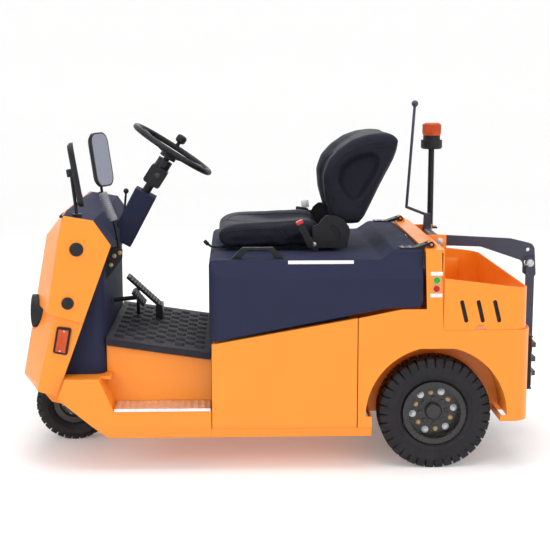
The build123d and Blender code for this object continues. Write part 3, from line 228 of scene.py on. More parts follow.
# %% [markdown]
# Real paint, plastic and rubber never have one even colour. Three shader groups are shared by all the
# finishes: cloudy speckle for colour and gloss, a moulded grain for height, and dust that gathers
# near the ground. Each finish sets its own scale and strength.


# %% Helpers for node trees
def add(tree, kind, values=None, **settings):
    """New node with its inputs and properties set."""
    node = tree.nodes.new(kind)
    for name, value in settings.items():
        setattr(node, name, value)
    for name, value in (values or {}).items():
        node.inputs[name].default_value = value
    return node


def shader_group(name, inputs, outputs):
    """Empty shader group with float sockets, and its two end nodes."""
    tree = bpy.data.node_groups.new(name, "ShaderNodeTree")
    for socket, value in inputs.items():
        slot = tree.interface.new_socket(socket, in_out="INPUT", socket_type="NodeSocketFloat")
        slot.default_value = value
    for socket in outputs:
        tree.interface.new_socket(socket, in_out="OUTPUT", socket_type="NodeSocketFloat")
    return tree, add(tree, "NodeGroupInput"), add(tree, "NodeGroupOutput")


print("node helpers ready")

# %% Cloudy speckle
speckle, start, end = shader_group("cloudy_speckle", {"Scale": 8, "Low": 0, "High": 1}, ["Value"])
place = add(speckle, "ShaderNodeTexCoord")
cloud = add(speckle, "ShaderNodeTexNoise", {"Detail": 4, "Roughness": 0.6})
spread = add(speckle, "ShaderNodeMapRange", {"From Min": 0.3, "From Max": 0.7})
speckle.links.new(place.outputs["Object"], cloud.inputs["Vector"])
speckle.links.new(start.outputs["Scale"], cloud.inputs["Scale"])
speckle.links.new(cloud.outputs["Fac"], spread.inputs["Value"])
speckle.links.new(start.outputs["Low"], spread.inputs["To Min"])
speckle.links.new(start.outputs["High"], spread.inputs["To Max"])
speckle.links.new(spread.outputs["Result"], end.inputs["Value"])
print("group", speckle.name)

# %% Moulded grain
grain, start, end = shader_group("moulded_grain", {"Cells": 400, "Fine": 0.3}, ["Height"])
place = add(grain, "ShaderNodeTexCoord")
cells = add(grain, "ShaderNodeTexVoronoi", feature="SMOOTH_F1")
fine = add(grain, "ShaderNodeTexNoise", {"Scale": 1500, "Detail": 2})
both = add(grain, "ShaderNodeMix", data_type="FLOAT")
grain.links.new(place.outputs["Object"], cells.inputs["Vector"])
grain.links.new(place.outputs["Object"], fine.inputs["Vector"])
grain.links.new(start.outputs["Cells"], cells.inputs["Scale"])
grain.links.new(start.outputs["Fine"], both.inputs["Factor"])
grain.links.new(cells.outputs["Distance"], both.inputs["A"])
grain.links.new(fine.outputs["Fac"], both.inputs["B"])
grain.links.new(both.outputs["Result"], end.inputs["Height"])
print("group", grain.name)

# %% Dust near the ground
dust, start, end = shader_group("ground_dust", {"Reach": 0.3, "Amount": 0.3}, ["Mask"])
place = add(dust, "ShaderNodeTexCoord")
parts = add(dust, "ShaderNodeSeparateXYZ")
fade = add(dust, "ShaderNodeMapRange", {"From Min": 0.0, "To Min": 1.0, "To Max": 0.0})
patch = add(dust, "ShaderNodeTexNoise", {"Scale": 26, "Detail": 5})
uneven = add(dust, "ShaderNodeMath", operation="MULTIPLY")
share = add(dust, "ShaderNodeMath", operation="MULTIPLY")
dust.links.new(place.outputs["Object"], parts.inputs["Vector"])
dust.links.new(place.outputs["Object"], patch.inputs["Vector"])
dust.links.new(parts.outputs["Z"], fade.inputs["Value"])
dust.links.new(start.outputs["Reach"], fade.inputs["From Max"])
dust.links.new(fade.outputs["Result"], uneven.inputs[0])
dust.links.new(patch.outputs["Fac"], uneven.inputs[1])
dust.links.new(uneven.outputs["Value"], share.inputs[0])
dust.links.new(start.outputs["Amount"], share.inputs[1])
dust.links.new(share.outputs["Value"], end.inputs["Mask"])
print("shader groups", [group.name for group in bpy.data.node_groups])

# %% [markdown]
# One function builds every finish, so that they differ only in their numbers. The Bevel node rounds
# the highlight along sheet edges, as paint does on a real folded panel, without touching the mesh.


# %% How a finish is built
def finish(name, colour, gloss, speckle_scale=6.0, vary=0.05, cells=0.0, depth=0.0, edge=0.002,
           dirt=0.0, dirt_reach=0.3, dirt_colour=(0.30, 0.27, 0.23), **fixed):
    """Material with cloudy colour, uneven gloss, moulded grain, soft edges and ground dust."""
    material = bpy.data.materials.new(name)
    material.use_nodes = True
    tree = material.node_tree
    shader = tree.nodes["Principled BSDF"]
    for socket, value in fixed.items():
        shader.inputs[socket.replace("_", " ")].default_value = value
    clouds = add(tree, "ShaderNodeGroup", node_tree=speckle)
    clouds.inputs["Scale"].default_value = speckle_scale
    tint = add(tree, "ShaderNodeMix", data_type="RGBA")
    tint.inputs["A"].default_value = (*[c * (1 - vary) for c in colour], 1)
    tint.inputs["B"].default_value = (*[min(1, c * (1 + vary)) for c in colour], 1)
    tree.links.new(clouds.outputs["Value"], tint.inputs["Factor"])
    shade = tint.outputs["Result"]
    if dirt:
        soil = add(tree, "ShaderNodeGroup", node_tree=dust)
        soil.inputs["Reach"].default_value = dirt_reach
        soil.inputs["Amount"].default_value = dirt
        soiled = add(tree, "ShaderNodeMix", data_type="RGBA")
        soiled.inputs["B"].default_value = (*dirt_colour, 1)
        tree.links.new(soil.outputs["Mask"], soiled.inputs["Factor"])
        tree.links.new(shade, soiled.inputs["A"])
        shade = soiled.outputs["Result"]
    tree.links.new(shade, shader.inputs["Base Color"])
    sheen = add(tree, "ShaderNodeGroup", node_tree=speckle)
    sheen.inputs["Scale"].default_value = speckle_scale * 5
    sheen.inputs["Low"].default_value = gloss[0]
    sheen.inputs["High"].default_value = gloss[1]
    tree.links.new(sheen.outputs["Value"], shader.inputs["Roughness"])
    normal = add(tree, "ShaderNodeBevel", {"Radius": edge}, samples=4)
    if depth:
        skin = add(tree, "ShaderNodeGroup", node_tree=grain)
        skin.inputs["Cells"].default_value = cells
        bump = add(tree, "ShaderNodeBump", {"Distance": depth})
        tree.links.new(skin.outputs["Height"], bump.inputs["Height"])
        tree.links.new(normal.outputs["Normal"], bump.inputs["Normal"])
        normal = bump
    tree.links.new(normal.outputs["Normal"], shader.inputs["Normal"])
    return material


print("finishes can be built")

# %% [markdown]
# The finishes are the paints, plastics, rubbers and metals of the tug. Colour is the share of light
# that comes back, gloss is the range of roughness from shiny to dull, and grain sizes are in metres.
# A finish with dirt is one that the road reaches.

# %% The finishes
finish_values = {
    "orange_paint": dict(colour=(0.95, 0.275, 0.017), gloss=(0.30, 0.40), speckle_scale=3.0, vary=0.03,
                         cells=260, depth=0.00006, edge=0.005, dirt=0.16, dirt_reach=0.22,
                         Specular_IOR_Level=0.4, Coat_Weight=0.15, Coat_Roughness=0.12),
    "cover_plastic": dict(colour=(0.026, 0.029, 0.059), gloss=(0.62, 0.72), speckle_scale=4.0, vary=0.05,
                          cells=900, depth=0.00007, edge=0.008, Specular_IOR_Level=0.06),
    "black_plastic": dict(colour=(0.012, 0.012, 0.015), gloss=(0.34, 0.50), speckle_scale=10.0, vary=0.15,
                          cells=1100, depth=0.00007, Specular_IOR_Level=0.25),
    "tyre_rubber": dict(colour=(0.0095, 0.0090, 0.0115), gloss=(0.50, 0.70), speckle_scale=14.0, vary=0.25,
                        cells=500, depth=0.0002, edge=0.005, dirt=0.06, dirt_reach=0.42,
                        dirt_colour=(0.10, 0.085, 0.075), Specular_IOR_Level=0.3),
    "rim_paint": dict(colour=(0.009, 0.009, 0.010), gloss=(0.16, 0.30), speckle_scale=12.0, vary=0.2,
                      cells=400, depth=0.00006, edge=0.003, dirt=0.08, dirt_reach=0.35),
    "dark_steel": dict(colour=(0.030, 0.032, 0.038), gloss=(0.38, 0.55), speckle_scale=14.0, vary=0.2,
                       cells=500, depth=0.0001, edge=0.003, dirt=0.25, dirt_reach=0.4),
    "arm_paint": dict(colour=(0.032, 0.036, 0.062), gloss=(0.36, 0.48), speckle_scale=9.0, vary=0.08,
                      cells=500, depth=0.00008, edge=0.003),
    "step_aluminium": dict(colour=(0.86, 0.86, 0.88), gloss=(0.30, 0.42), speckle_scale=18.0, vary=0.10,
                           cells=700, depth=0.00004, edge=0.002, Metallic=1.0),
    "mat_rubber": dict(colour=(0.020, 0.0185, 0.026), gloss=(0.58, 0.76), speckle_scale=9.0, vary=0.25,
                       cells=600, depth=0.0002, edge=0.004, Specular_IOR_Level=0.25),
    "seat_vinyl": dict(colour=(0.0140, 0.0145, 0.0230), gloss=(0.50, 0.58), speckle_scale=7.0, vary=0.10,
                       cells=620, depth=0.00008, edge=0.003, Specular_IOR_Level=0.08),
    "lamp_glass": dict(colour=(0.95, 0.96, 0.97), gloss=(0.02, 0.05), speckle_scale=20.0, vary=0.02,
                       cells=60, depth=0.0006, Transmission_Weight=1.0, IOR=1.45),
    "lamp_chrome": dict(colour=(0.86, 0.87, 0.88), gloss=(0.04, 0.10), speckle_scale=20.0, vary=0.02,
                        Metallic=1.0),
    "lamp_white": dict(colour=(0.82, 0.83, 0.84), gloss=(0.06, 0.12), speckle_scale=30.0, vary=0.05,
                       cells=90, depth=0.0008, Coat_Weight=0.6),
    "amber_lens": dict(colour=(0.52, 0.060, 0.002), gloss=(0.14, 0.22), speckle_scale=30.0, vary=0.18,
                       cells=60, depth=0.0008, edge=0.002, Specular_IOR_Level=0.3, Coat_Weight=0.2,
                       Coat_Roughness=0.05),
    "red_lens": dict(colour=(0.42, 0.010, 0.010), gloss=(0.10, 0.20), speckle_scale=30.0, vary=0.10,
                     cells=90, depth=0.0008, edge=0.002, Coat_Weight=0.6, Coat_Roughness=0.05),
    "mirror_glass": dict(colour=(0.28, 0.295, 0.36), gloss=(0.03, 0.06), speckle_scale=5.0, vary=0.02,
                         Metallic=1.0),
    "battery_case": dict(colour=(0.10, 0.10, 0.11), gloss=(0.45, 0.6), speckle_scale=8.0, vary=0.15,
                         cells=500, depth=0.0002),
    "button_plastic": dict(colour=(0.015, 0.36, 0.02), gloss=(0.22, 0.32), speckle_scale=20.0, vary=0.05,
                           Specular_IOR_Level=0.3),
    "bright_zinc": dict(colour=(0.56, 0.57, 0.60), gloss=(0.24, 0.42), speckle_scale=60.0, vary=0.12,
                        Metallic=1.0),
    "brass_zinc": dict(colour=(0.46, 0.33, 0.17), gloss=(0.30, 0.48), speckle_scale=60.0, vary=0.15,
                       Metallic=1.0),
    "blank_plate": dict(colour=(0.80, 0.80, 0.79), gloss=(0.40, 0.5), speckle_scale=20.0, vary=0.04),
    "grip_rubber": dict(colour=(0.25, 0.25, 0.28), gloss=(0.45, 0.6), speckle_scale=30.0, vary=0.1,
                        cells=900, depth=0.0001),
    "red_plastic": dict(colour=(0.62, 0.012, 0.014), gloss=(0.25, 0.35), speckle_scale=30.0, vary=0.06,
                        Coat_Weight=0.3),
}
finishes = {name: finish(name, **values) for name, values in finish_values.items()}
worn_by = {row["node"]: row["material_slot"] for row in frame["record"]["subparts"]}
for name, node in frame["nodes"].items():
    node.data.materials.clear()
    node.data.materials.append(finishes[worn_by[name]])
print("finishes", len(finishes))

# %% [markdown]
# Two push buttons share one node, so their finish tells them apart by height: the upper one is green
# and the lower one red.

# %% Two-colour push buttons
button_split = 0.6965
button_red = (0.45, 0.006, 0.006, 1)
tree = finishes["button_plastic"].node_tree
shader = tree.nodes["Principled BSDF"]
green = shader.inputs["Base Color"].links[0].from_socket
place = add(tree, "ShaderNodeTexCoord")
parts = add(tree, "ShaderNodeSeparateXYZ")
upper = add(tree, "ShaderNodeMath", operation="GREATER_THAN")
upper.inputs[1].default_value = button_split
two_colours = add(tree, "ShaderNodeMix", data_type="RGBA")
two_colours.inputs["A"].default_value = button_red
tree.links.new(place.outputs["Object"], parts.inputs["Vector"])
tree.links.new(parts.outputs["Z"], upper.inputs[0])
tree.links.new(upper.outputs["Value"], two_colours.inputs["Factor"])
tree.links.new(green, two_colours.inputs["B"])
tree.links.new(two_colours.outputs["Result"], shader.inputs["Base Color"])
print("buttons split at", button_split)

# %% [markdown]
# Each piece has to say which body carries it, or it would stay behind when the hood tips or a wheel
# turns. One function gives a mesh its finish, makes it an object and ties it to its body. Another
# mirrors a left piece, because many fittings are the same on both sides.


# %% Adding a piece
def add_piece(name, mesh, look, body):
    """Object with a finish that rides on a body."""
    if not mesh.materials:
        mesh.materials.append(finishes[look])
    piece = bpy.data.objects.new(name, mesh)
    scene.collection.objects.link(piece)
    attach(piece, body)
    return piece


def both_sides(mesh, name):
    """The left piece together with its mirror image."""
    twin = mesh.copy()
    twin.transform(Matrix.Scale(-1, 4, (0, 1, 0)))
    twin.flip_normals()
    return soft_edges(joined([mesh, twin], name))


print("pieces can be added")

# %% [markdown]
# Nuts sit in circles on the wheels, so Geometry Nodes place them: a circle gives the points, one bolt
# is set on each, and the copies are made real. The tree's inputs are the sizes that a fitter would
# measure, and the same tree serves every ring on the wheels and the ribs of the beacon.


# %% Hexagon bolt
def hex_bolt(name, across, height, washer):
    """Chamfered hexagon head on a washer with the stub of its stud, along +Z."""
    radius = across / math.sqrt(3)
    chamfer = radius * 0.86
    stud = radius * 0.5
    washer_top, chamfer_foot = height * 0.18, height * 0.86
    stud_edge, stud_top = height * 1.18, height * 1.26
    rows = [(washer / 2, 0, False), (washer / 2, washer_top, False), (radius, washer_top, True),
            (radius, chamfer_foot, True), (chamfer, height, True), (stud, height, False),
            (stud, stud_edge, False), (stud * 0.7, stud_top, False)]
    corners = 24
    rings = []
    for size, rise, hexagon in rows:
        ring = []
        for i in range(corners):
            turn = 2 * math.pi * i / corners
            reach = size
            if hexagon:
                reach *= math.cos(math.pi / 6) / math.cos(turn % (math.pi / 3) - math.pi / 6)
            ring.append((reach * math.cos(turn), reach * math.sin(turn), rise))
        rings.append(ring)
    return bpy.data.objects.new(name, soft_edges(lofted(rings, name)))


print("bolt ready")


# %% Trees that grow a mesh
def geometry_tree(name, inputs):
    """Geometry Nodes tree with named inputs; gives the tree, its ends and the inputs' identifiers."""
    tree = bpy.data.node_groups.new(name, "GeometryNodeTree")
    tree.interface.new_socket("Geometry", in_out="OUTPUT", socket_type="NodeSocketGeometry")
    keys = {}
    for label, kind in inputs.items():
        socket = tree.interface.new_socket(label, in_out="INPUT", socket_type="NodeSocket" + kind)
        keys[label] = socket.identifier
    return tree, add(tree, "NodeGroupInput"), add(tree, "NodeGroupOutput"), keys


def grown(tree, keys, values, name):
    """Plain mesh of a tree for the given input values."""
    host = bpy.data.objects.new(name, bpy.data.meshes.new(name))
    scene.collection.objects.link(host)
    modifier = host.modifiers.new("grow", "NODES")
    modifier.node_group = tree
    for label, value in values.items():
        modifier[keys[label]] = value
    depsgraph = bpy.context.evaluated_depsgraph_get()
    mesh = bpy.data.meshes.new_from_object(host.evaluated_get(depsgraph))
    bpy.data.objects.remove(host)
    mesh.name = name
    return mesh


print("trees can grow")

# %% Ring of bolts
ring_tree, ring_in, ring_out, ring_keys = geometry_tree("bolt_ring", {
    "Bolt": "Object", "Count": "Int", "Radius": "Float", "Turn": "Float", "Finish": "Material",
})
circle = add(ring_tree, "GeometryNodeMeshCircle")
twist = add(ring_tree, "GeometryNodeTransform")
euler = add(ring_tree, "ShaderNodeCombineXYZ")
bolt_info = add(ring_tree, "GeometryNodeObjectInfo", transform_space="ORIGINAL")
onto = add(ring_tree, "GeometryNodeInstanceOnPoints")
real = add(ring_tree, "GeometryNodeRealizeInstances")
coat = add(ring_tree, "GeometryNodeSetMaterial")
for a, b in (
    (ring_in.outputs["Count"], circle.inputs["Vertices"]),
    (ring_in.outputs["Radius"], circle.inputs["Radius"]),
    (ring_in.outputs["Turn"], euler.inputs["Z"]),
    (euler.outputs["Vector"], twist.inputs["Rotation"]),
    (circle.outputs["Mesh"], twist.inputs["Geometry"]),
    (twist.outputs["Geometry"], onto.inputs["Points"]),
    (ring_in.outputs["Bolt"], bolt_info.inputs["Object"]),
    (bolt_info.outputs["Geometry"], onto.inputs["Instance"]),
    (onto.outputs["Instances"], real.inputs["Geometry"]),
    (real.outputs["Geometry"], coat.inputs["Geometry"]),
    (ring_in.outputs["Finish"], coat.inputs["Material"]),
    (coat.outputs["Geometry"], ring_out.inputs["Geometry"]),
):
    ring_tree.links.new(a, b)


def ring_of(name, bolt, count, radius, turn, look, where, body):
    """Ring of bolts about +Z, put in place by a matrix."""
    values = {"Bolt": bolt, "Count": count, "Radius": radius, "Turn": turn, "Finish": finishes[look]}
    mesh = grown(ring_tree, ring_keys, values, name)
    mesh.transform(where)
    return add_piece(name, soft_edges(mesh), look, body)


print("ring tree ready")

# %% Nuts and bolts of the wheels
wheel_nut = hex_bolt("wheel_nut", across=0.019, height=0.012, washer=0.026)
rim_bolt = hex_bolt("rim_bolt", across=0.015, height=0.008, washer=0.019)
hub_bolt = hex_bolt("hub_bolt", across=0.012, height=0.007, washer=0.016)
wheel_nut_ring, rim_bolt_ring, hub_bolt_ring, front_nut_ring = 0.0775, 0.0705, 0.0490, 0.0450
rear_axle_z = 0.2075
rear_disc_y = 0.412
front_axle_z = 0.15
front_web_y = 0.022
nut_turn, hub_turn, front_turn = 0.14, 0.05, 0.2
for side, wheel in ((1, "left"), (-1, "right")):
    face = facing((rear_x, side * rear_disc_y, rear_axle_z), (0, side, 0))
    body = "rear_wheel_" + wheel
    ring_of("wheel_nuts_" + wheel, wheel_nut, 6, wheel_nut_ring, nut_turn, "bright_zinc", face, body)
    ring_of("rim_bolts_" + wheel, rim_bolt, 6, rim_bolt_ring, nut_turn + math.pi / 6, "brass_zinc", face, body)
    ring_of("hub_bolts_" + wheel, hub_bolt, 8, hub_bolt_ring, hub_turn, "dark_steel", face, body)
    web = facing((front_x, side * front_web_y, front_axle_z), (0, side, 0))
    ring_of("front_nuts_" + wheel, hub_bolt, 6, front_nut_ring, front_turn, "bright_zinc", web, "front_wheel")
print("wheel rings set")

# %% [markdown]
# The CAD tyres carry a light form of their tread. Here a mesh with the real number of blocks takes the
# place of each one, with the same width, diameter and seat on the rim. A section is carried round the
# axle in small steps, and where a groove passes, the points of the tread drop by its depth. The two
# sides are staggered by half a block. The raised rings on the sides come from the mould.


# %% Tyre section and tread
def tyre_mesh(name, diameter, width, tread, bead_width, flange, blocks, steps=20, groove=3):
    """Tyre about +Z with two staggered rows of blocks and a channel between them."""
    tip = diameter / 2
    lip = flange / 2 + 0.001
    belly = (tip + lip) / 2
    depth = 0.010
    half = width / 2
    bead = bead_width / 2
    mould_ring, ring_rise = lip + 0.0225, 0.0014
    side = [(bead - 0.004, lip, 0), (bead, lip + 0.004, 0)]
    for radius in (lip + 0.014, lip + 0.020, mould_ring, lip + 0.025, belly - 0.004):
        rise = ring_rise if radius == mould_ring else 0
        share = (radius - lip) / (belly - lip)
        side.append((bead + (half - bead) * share ** 0.7 + rise, radius, 0))
    shoulder = [(half, belly + 0.013, 0.3), (half - 0.0015, tip - 0.018, 0.9),
                (tread / 2 + 0.002, tip - 0.003, 1), (tread / 2 - 0.002, tip, 1), (tread / 4, tip, 1),
                (0.006, tip, 1), (0.0045, tip - depth, 0)]
    left = side + shoulder
    rings = []
    for step in range(blocks * steps):
        turn = 2 * math.pi * step / (blocks * steps)
        ring = []
        for way, shift in ((1, 0), (-1, steps // 2)):
            dropped = (step + shift) % steps < groove
            for y, radius, share in left if way > 0 else reversed(left):
                cut = depth * share if dropped else 0
                sunk = radius - (cut if y < half - 0.001 else 0)
                reach = y - (cut * 0.35 if y > tread / 2 - 0.003 else 0)
                ring.append((sunk * math.cos(turn), sunk * math.sin(turn), way * reach))
        rings.append(ring)
    return soft_edges(lofted(rings, name, loop=True), 30)


print("tyres can be made")

# %% Tyres on their rims
rear_tyre_y = 0.404
for side, wheel in ((1, "left"), (-1, "right")):
    mesh = tyre_mesh("tread_" + wheel, diameter=0.415, width=0.112, tread=0.096, bead_width=0.084,
                     flange=0.238, blocks=36)
    mesh.transform(facing((rear_x, side * rear_tyre_y, rear_axle_z), (0, side, 0)))
    tread = add_piece("tread_" + wheel, mesh, "tyre_rubber", "rear_wheel_" + wheel)
    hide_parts("rear_tyre_" + wheel)
mesh = tyre_mesh("tread_front", diameter=0.300, width=0.095, tread=0.080, bead_width=0.066,
                 flange=0.168, blocks=30)
mesh.transform(facing((front_x, 0, front_axle_z), (0, 1, 0)))
tread = add_piece("tread_front", mesh, "tyre_rubber", "front_wheel")
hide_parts("front_tyre")
print("front tyre faces", len(mesh.polygons))

# %% [markdown]
# The seat is foam under black vinyl. Each pad starts as a loft of side outlines, drawn in towards its
# ends so that the edges are round. Cloth with air pressure then swells it, as foam stretches its
# cover, and a cap on the travel keeps it inside the room that the CAD seat holds.


# %% Outlines of the pads
def sampled(points, count, centre):
    """Closed outline read at equal angles round a centre."""
    spots = []
    for i in range(count):
        turn = 2 * math.pi * i / count
        way = Vector((math.cos(turn), math.sin(turn)))
        best = 0
        for first, second in zip(points, points[1:] + points[:1]):
            p = Vector(first) - Vector(centre)
            edge = Vector(second) - Vector(first)
            bottom = way.x * edge.y - way.y * edge.x
            if abs(bottom) < 1e-12:
                continue
            reach = (p.x * edge.y - p.y * edge.x) / bottom
            share = (p.x * way.y - p.y * way.x) / bottom
            if -1e-9 <= share <= 1 + 1e-9:
                best = max(best, reach)
        spots.append(Vector(centre) + way * best)
    return spots


def shrunk(outline, centre, inset):
    """Outline drawn in towards its centre by a distance."""
    drawn = []
    for spot in outline:
        away = spot - Vector(centre)
        drawn.append(Vector(centre) + away * max(0.02, 1 - inset / away.length))
    return drawn


def eased(value, low, high):
    """Smooth step from nought at low to one at high."""
    share = max(0.0, min(1.0, (value - low) / (high - low)))
    return share * share * (3 - 2 * share)


print("outlines ready")


# %% Foam that swells its cover
def swollen(mesh, name, voxel, cap, pressure):
    """Mesh swelled by simulated air pressure, with each point's travel capped."""
    pad = bpy.data.objects.new(name, mesh)
    scene.collection.objects.link(pad)
    remesh = pad.modifiers.new("even", "REMESH")
    remesh.mode = "VOXEL"
    remesh.voxel_size = voxel
    smooth = pad.modifiers.new("soft", "SMOOTH")
    smooth.iterations = 6
    even = bpy.data.meshes.new_from_object(pad.evaluated_get(bpy.context.evaluated_depsgraph_get()))
    pad.modifiers.clear()
    pad.data = even
    cloth = pad.modifiers.new("foam", "CLOTH")
    cloth.settings.use_pressure = True
    cloth.settings.uniform_pressure_force = pressure
    cloth.settings.effector_weights.gravity = 0
    for step in range(1, 16):
        scene.frame_set(step)
    depsgraph = bpy.context.evaluated_depsgraph_get()
    swelled = bpy.data.meshes.new_from_object(pad.evaluated_get(depsgraph))
    for vertex, grown_vertex in zip(even.vertices, swelled.vertices):
        travel = grown_vertex.co - vertex.co
        vertex.co += travel * min(1, cap / max(travel.length, 1e-9))
    scene.frame_set(1)
    bpy.data.objects.remove(pad)
    for face in even.polygons:
        face.use_smooth = True
    return even


foam_travel, foam_pressure = 0.004, 3.0
print("foam swells by", foam_travel, "m at most")

# %% [markdown]
# The cushion is drawn as its side outline and carried across the seat. A hollow for sitting is pressed
# into the top, and the rear corners are drawn in to pass the backrest's brackets.

# %% Seat cushion
cushion_centre = (0.603, 0.838)
cushion_side = sampled(
    [(0.770, 0.801), (0.792, 0.812), (0.803, 0.836), (0.797, 0.862), (0.772, 0.879), (0.700, 0.886),
     (0.600, 0.889), (0.440, 0.897), (0.410, 0.884), (0.404, 0.850), (0.406, 0.803)], 64, cushion_centre)


sitting_hollow, corner_tuck = 0.024, 0.016


def cushion_ring(outline, y):
    """Ring of the cushion at one Y, with the sitting hollow and the narrower rear corners."""
    ring = []
    for spot in outline:
        hollow = sitting_hollow * eased(0.170 - abs(y), 0.0, 0.085) * eased(0.765 - spot.x, 0.0, 0.20)
        hollow *= eased(spot.y, 0.850, 0.878)
        tuck = corner_tuck * eased(0.560 - spot.x, 0.0, 0.045) * eased(abs(y), 0.15, 0.22)
        ring.append((rear_x + spot.x, math.copysign(abs(y) - tuck, y), spot.y - hollow))
    return ring


cushion_edges = [(0.2380, 0.026), (0.2365, 0.017), (0.231, 0.009), (0.220, 0.003)]
rings = [cushion_ring(shrunk(cushion_side, cushion_centre, inset), -y) for y, inset in cushion_edges]
rings += [cushion_ring(cushion_side, 0.2 * step / 10) for step in range(-10, 11)]
rings += [cushion_ring(shrunk(cushion_side, cushion_centre, inset), y) for y, inset in reversed(cushion_edges)]
cushion_mesh = swollen(lofted(rings, "seat_cushion_pad"), "seat_cushion_pad", voxel=0.007,
                       cap=foam_travel, pressure=foam_pressure)
seat_cushion = add_piece("seat_cushion_pad", cushion_mesh, "seat_vinyl", "hood")
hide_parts("seat_cushion")
print("seat cushion faces", len(cushion_mesh.polygons))

# %% [markdown]
# The backrest has a thick bolster on each side, with a soft pocket in its outer face. Rings that step
# inwards past the edge make that pocket, and a hollow between the bolsters holds the driver's back.

# %% Seat back
back_centre = (0.262, 1.075)
back_side = sampled(
    [(0.368, 0.905), (0.392, 0.996), (0.398, 1.068), (0.378, 1.124), (0.340, 1.166), (0.288, 1.202),
     (0.236, 1.220), (0.182, 1.227), (0.135, 1.222), (0.114, 1.205), (0.112, 1.190), (0.124, 1.166),
     (0.136, 1.136), (0.228, 0.951), (0.262, 0.884), (0.330, 0.884)], 72, back_centre)
pocket_side = sampled(
    [(0.331, 1.097), (0.276, 1.141), (0.216, 1.152), (0.194, 1.134), (0.196, 1.097), (0.262, 0.987),
     (0.292, 0.977), (0.322, 1.008), (0.340, 1.045)], 72, back_centre)


back_hollow = 0.028


def back_ring(outline, y):
    """Ring of the backrest at one Y, with the hollow between its bolsters."""
    ring = []
    for spot in outline:
        hollow = back_hollow * eased(spot.x, 0.20, 0.31) * eased(0.175 - abs(y), 0.0, 0.09)
        ring.append((rear_x + spot.x - hollow, y, spot.y))
    return ring


pocket_steps = [(0.190, 0.040), (0.189, 0.024), (0.193, 0.013), (0.203, 0.005), (0.223, -0.006)]
back_steps = [(0.2315, 0.036), (0.2305, 0.020), (0.224, 0.008)]
edge_rings = [(y, shrunk(pocket_side, back_centre, inset)) for y, inset in pocket_steps]
edge_rings += [(y, shrunk(back_side, back_centre, inset)) for y, inset in back_steps]
rings = [back_ring(outline, -y) for y, outline in edge_rings]
rings += [back_ring(back_side, 0.208 * step / 9) for step in range(-9, 10)]
rings += [back_ring(outline, y) for y, outline in reversed(edge_rings)]
back_mesh = swollen(lofted(rings, "seat_back_pad"), "seat_back_pad", voxel=0.006,
                    cap=foam_travel, pressure=foam_pressure)
seat_back = add_piece("seat_back_pad", back_mesh, "seat_vinyl", "hood")
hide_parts("seat_back")
print("seat back faces", len(back_mesh.polygons))

# %% [markdown]
# Welts cover the seams of a seat. Remeshing would erase such thin cords, so they are laid on after: a
# few points are drawn in one view, joined by a smooth curve, dropped onto the pad by casting rays, and
# a thin tube follows the hits.


# %% Curves on a surface
def surface(mesh):
    """Search tree of a mesh, for casting rays."""
    return BVHTree.FromPolygons([v.co for v in mesh.vertices], [face.vertices[:] for face in mesh.polygons])


def curve(points, steps=8):
    """Smooth path through points."""
    spots = [Vector(p) for p in points]
    spots = [2 * spots[0] - spots[1]] + spots + [2 * spots[-1] - spots[-2]]
    path = []
    for a, b, c, d in zip(spots, spots[1:], spots[2:], spots[3:]):
        for i in range(steps):
            t = i / steps
            path.append(0.5 * (2 * b + (c - a) * t + (2 * a - 5 * b + 4 * c - d) * t * t
                               + (3 * b - a - 3 * c + d) * t * t * t))
    return path + [spots[-2]]


def welt(tree, path, way, radius, name):
    """Cord along a path that is dropped onto a surface."""
    hits = []
    for spot in path:
        hit = tree.ray_cast(spot - Vector(way) * 0.4, way)[0]
        if hit:
            hits.append(hit)
    return tube(hits, radius, name, 8)


print("welts can be laid")

# %% Seat welts
seam_welt, face_welt = 0.0022, 0.0018
beside, above, ahead = 0.2, 0.9, 0.4
cushion_skin = surface(cushion_mesh)
back_skin = surface(back_mesh)
cushion_seam = [(0.777, 0.846), (0.762, 0.859), (0.700, 0.8655), (0.620, 0.870), (0.560, 0.871),
                (0.545, 0.862), (0.530, 0.838), (0.517, 0.816)]
front_seam = [(0.372, 0.925), (0.384, 1.000), (0.383, 1.050), (0.362, 1.105), (0.322, 1.148),
              (0.262, 1.180), (0.200, 1.194), (0.140, 1.197)]
shell_seam = [(0.358, 0.935), (0.371, 1.000), (0.369, 1.046), (0.350, 1.096), (0.314, 1.135),
              (0.258, 1.164), (0.196, 1.177), (0.136, 1.180)]
top_seam = [(0.440, 0.128), (0.560, 0.136), (0.660, 0.132), (0.730, 0.105), (0.768, 0.0)]
chest_seam = [(0.930, 0.128), (1.020, 0.136), (1.090, 0.128), (1.135, 0.085), (1.147, 0.0)]
welts = []
for side in (1, -1):
    for skin, seam in ((cushion_skin, cushion_seam), (back_skin, front_seam), (back_skin, shell_seam)):
        path = curve([(rear_x + x, side * beside, z) for x, z in seam])
        welts.append(welt(skin, path, (0, -side, 0), seam_welt, "welt"))
    path = curve([(rear_x + x, side * y, above) for x, y in top_seam])
    welts.append(welt(cushion_skin, path, (0, 0, -1), face_welt, "welt"))
    path = curve([(rear_x + ahead, side * y, z) for z, y in chest_seam])
    welts.append(welt(back_skin, path, (-1, 0, 0), face_welt, "welt"))
add_piece("seat_welts", soft_edges(joined(welts, "seat_welts"), 60), "seat_vinyl", "hood")
print("welts", len(welts))

# %% [markdown]
# The rubber mat has groups of short wavy bars, and the aluminium steps have raised lozenges. Both are
# one small tile set on a grid, so one tree lays tiles in rows, and a second call with a shifted start
# gives the staggered rows between.

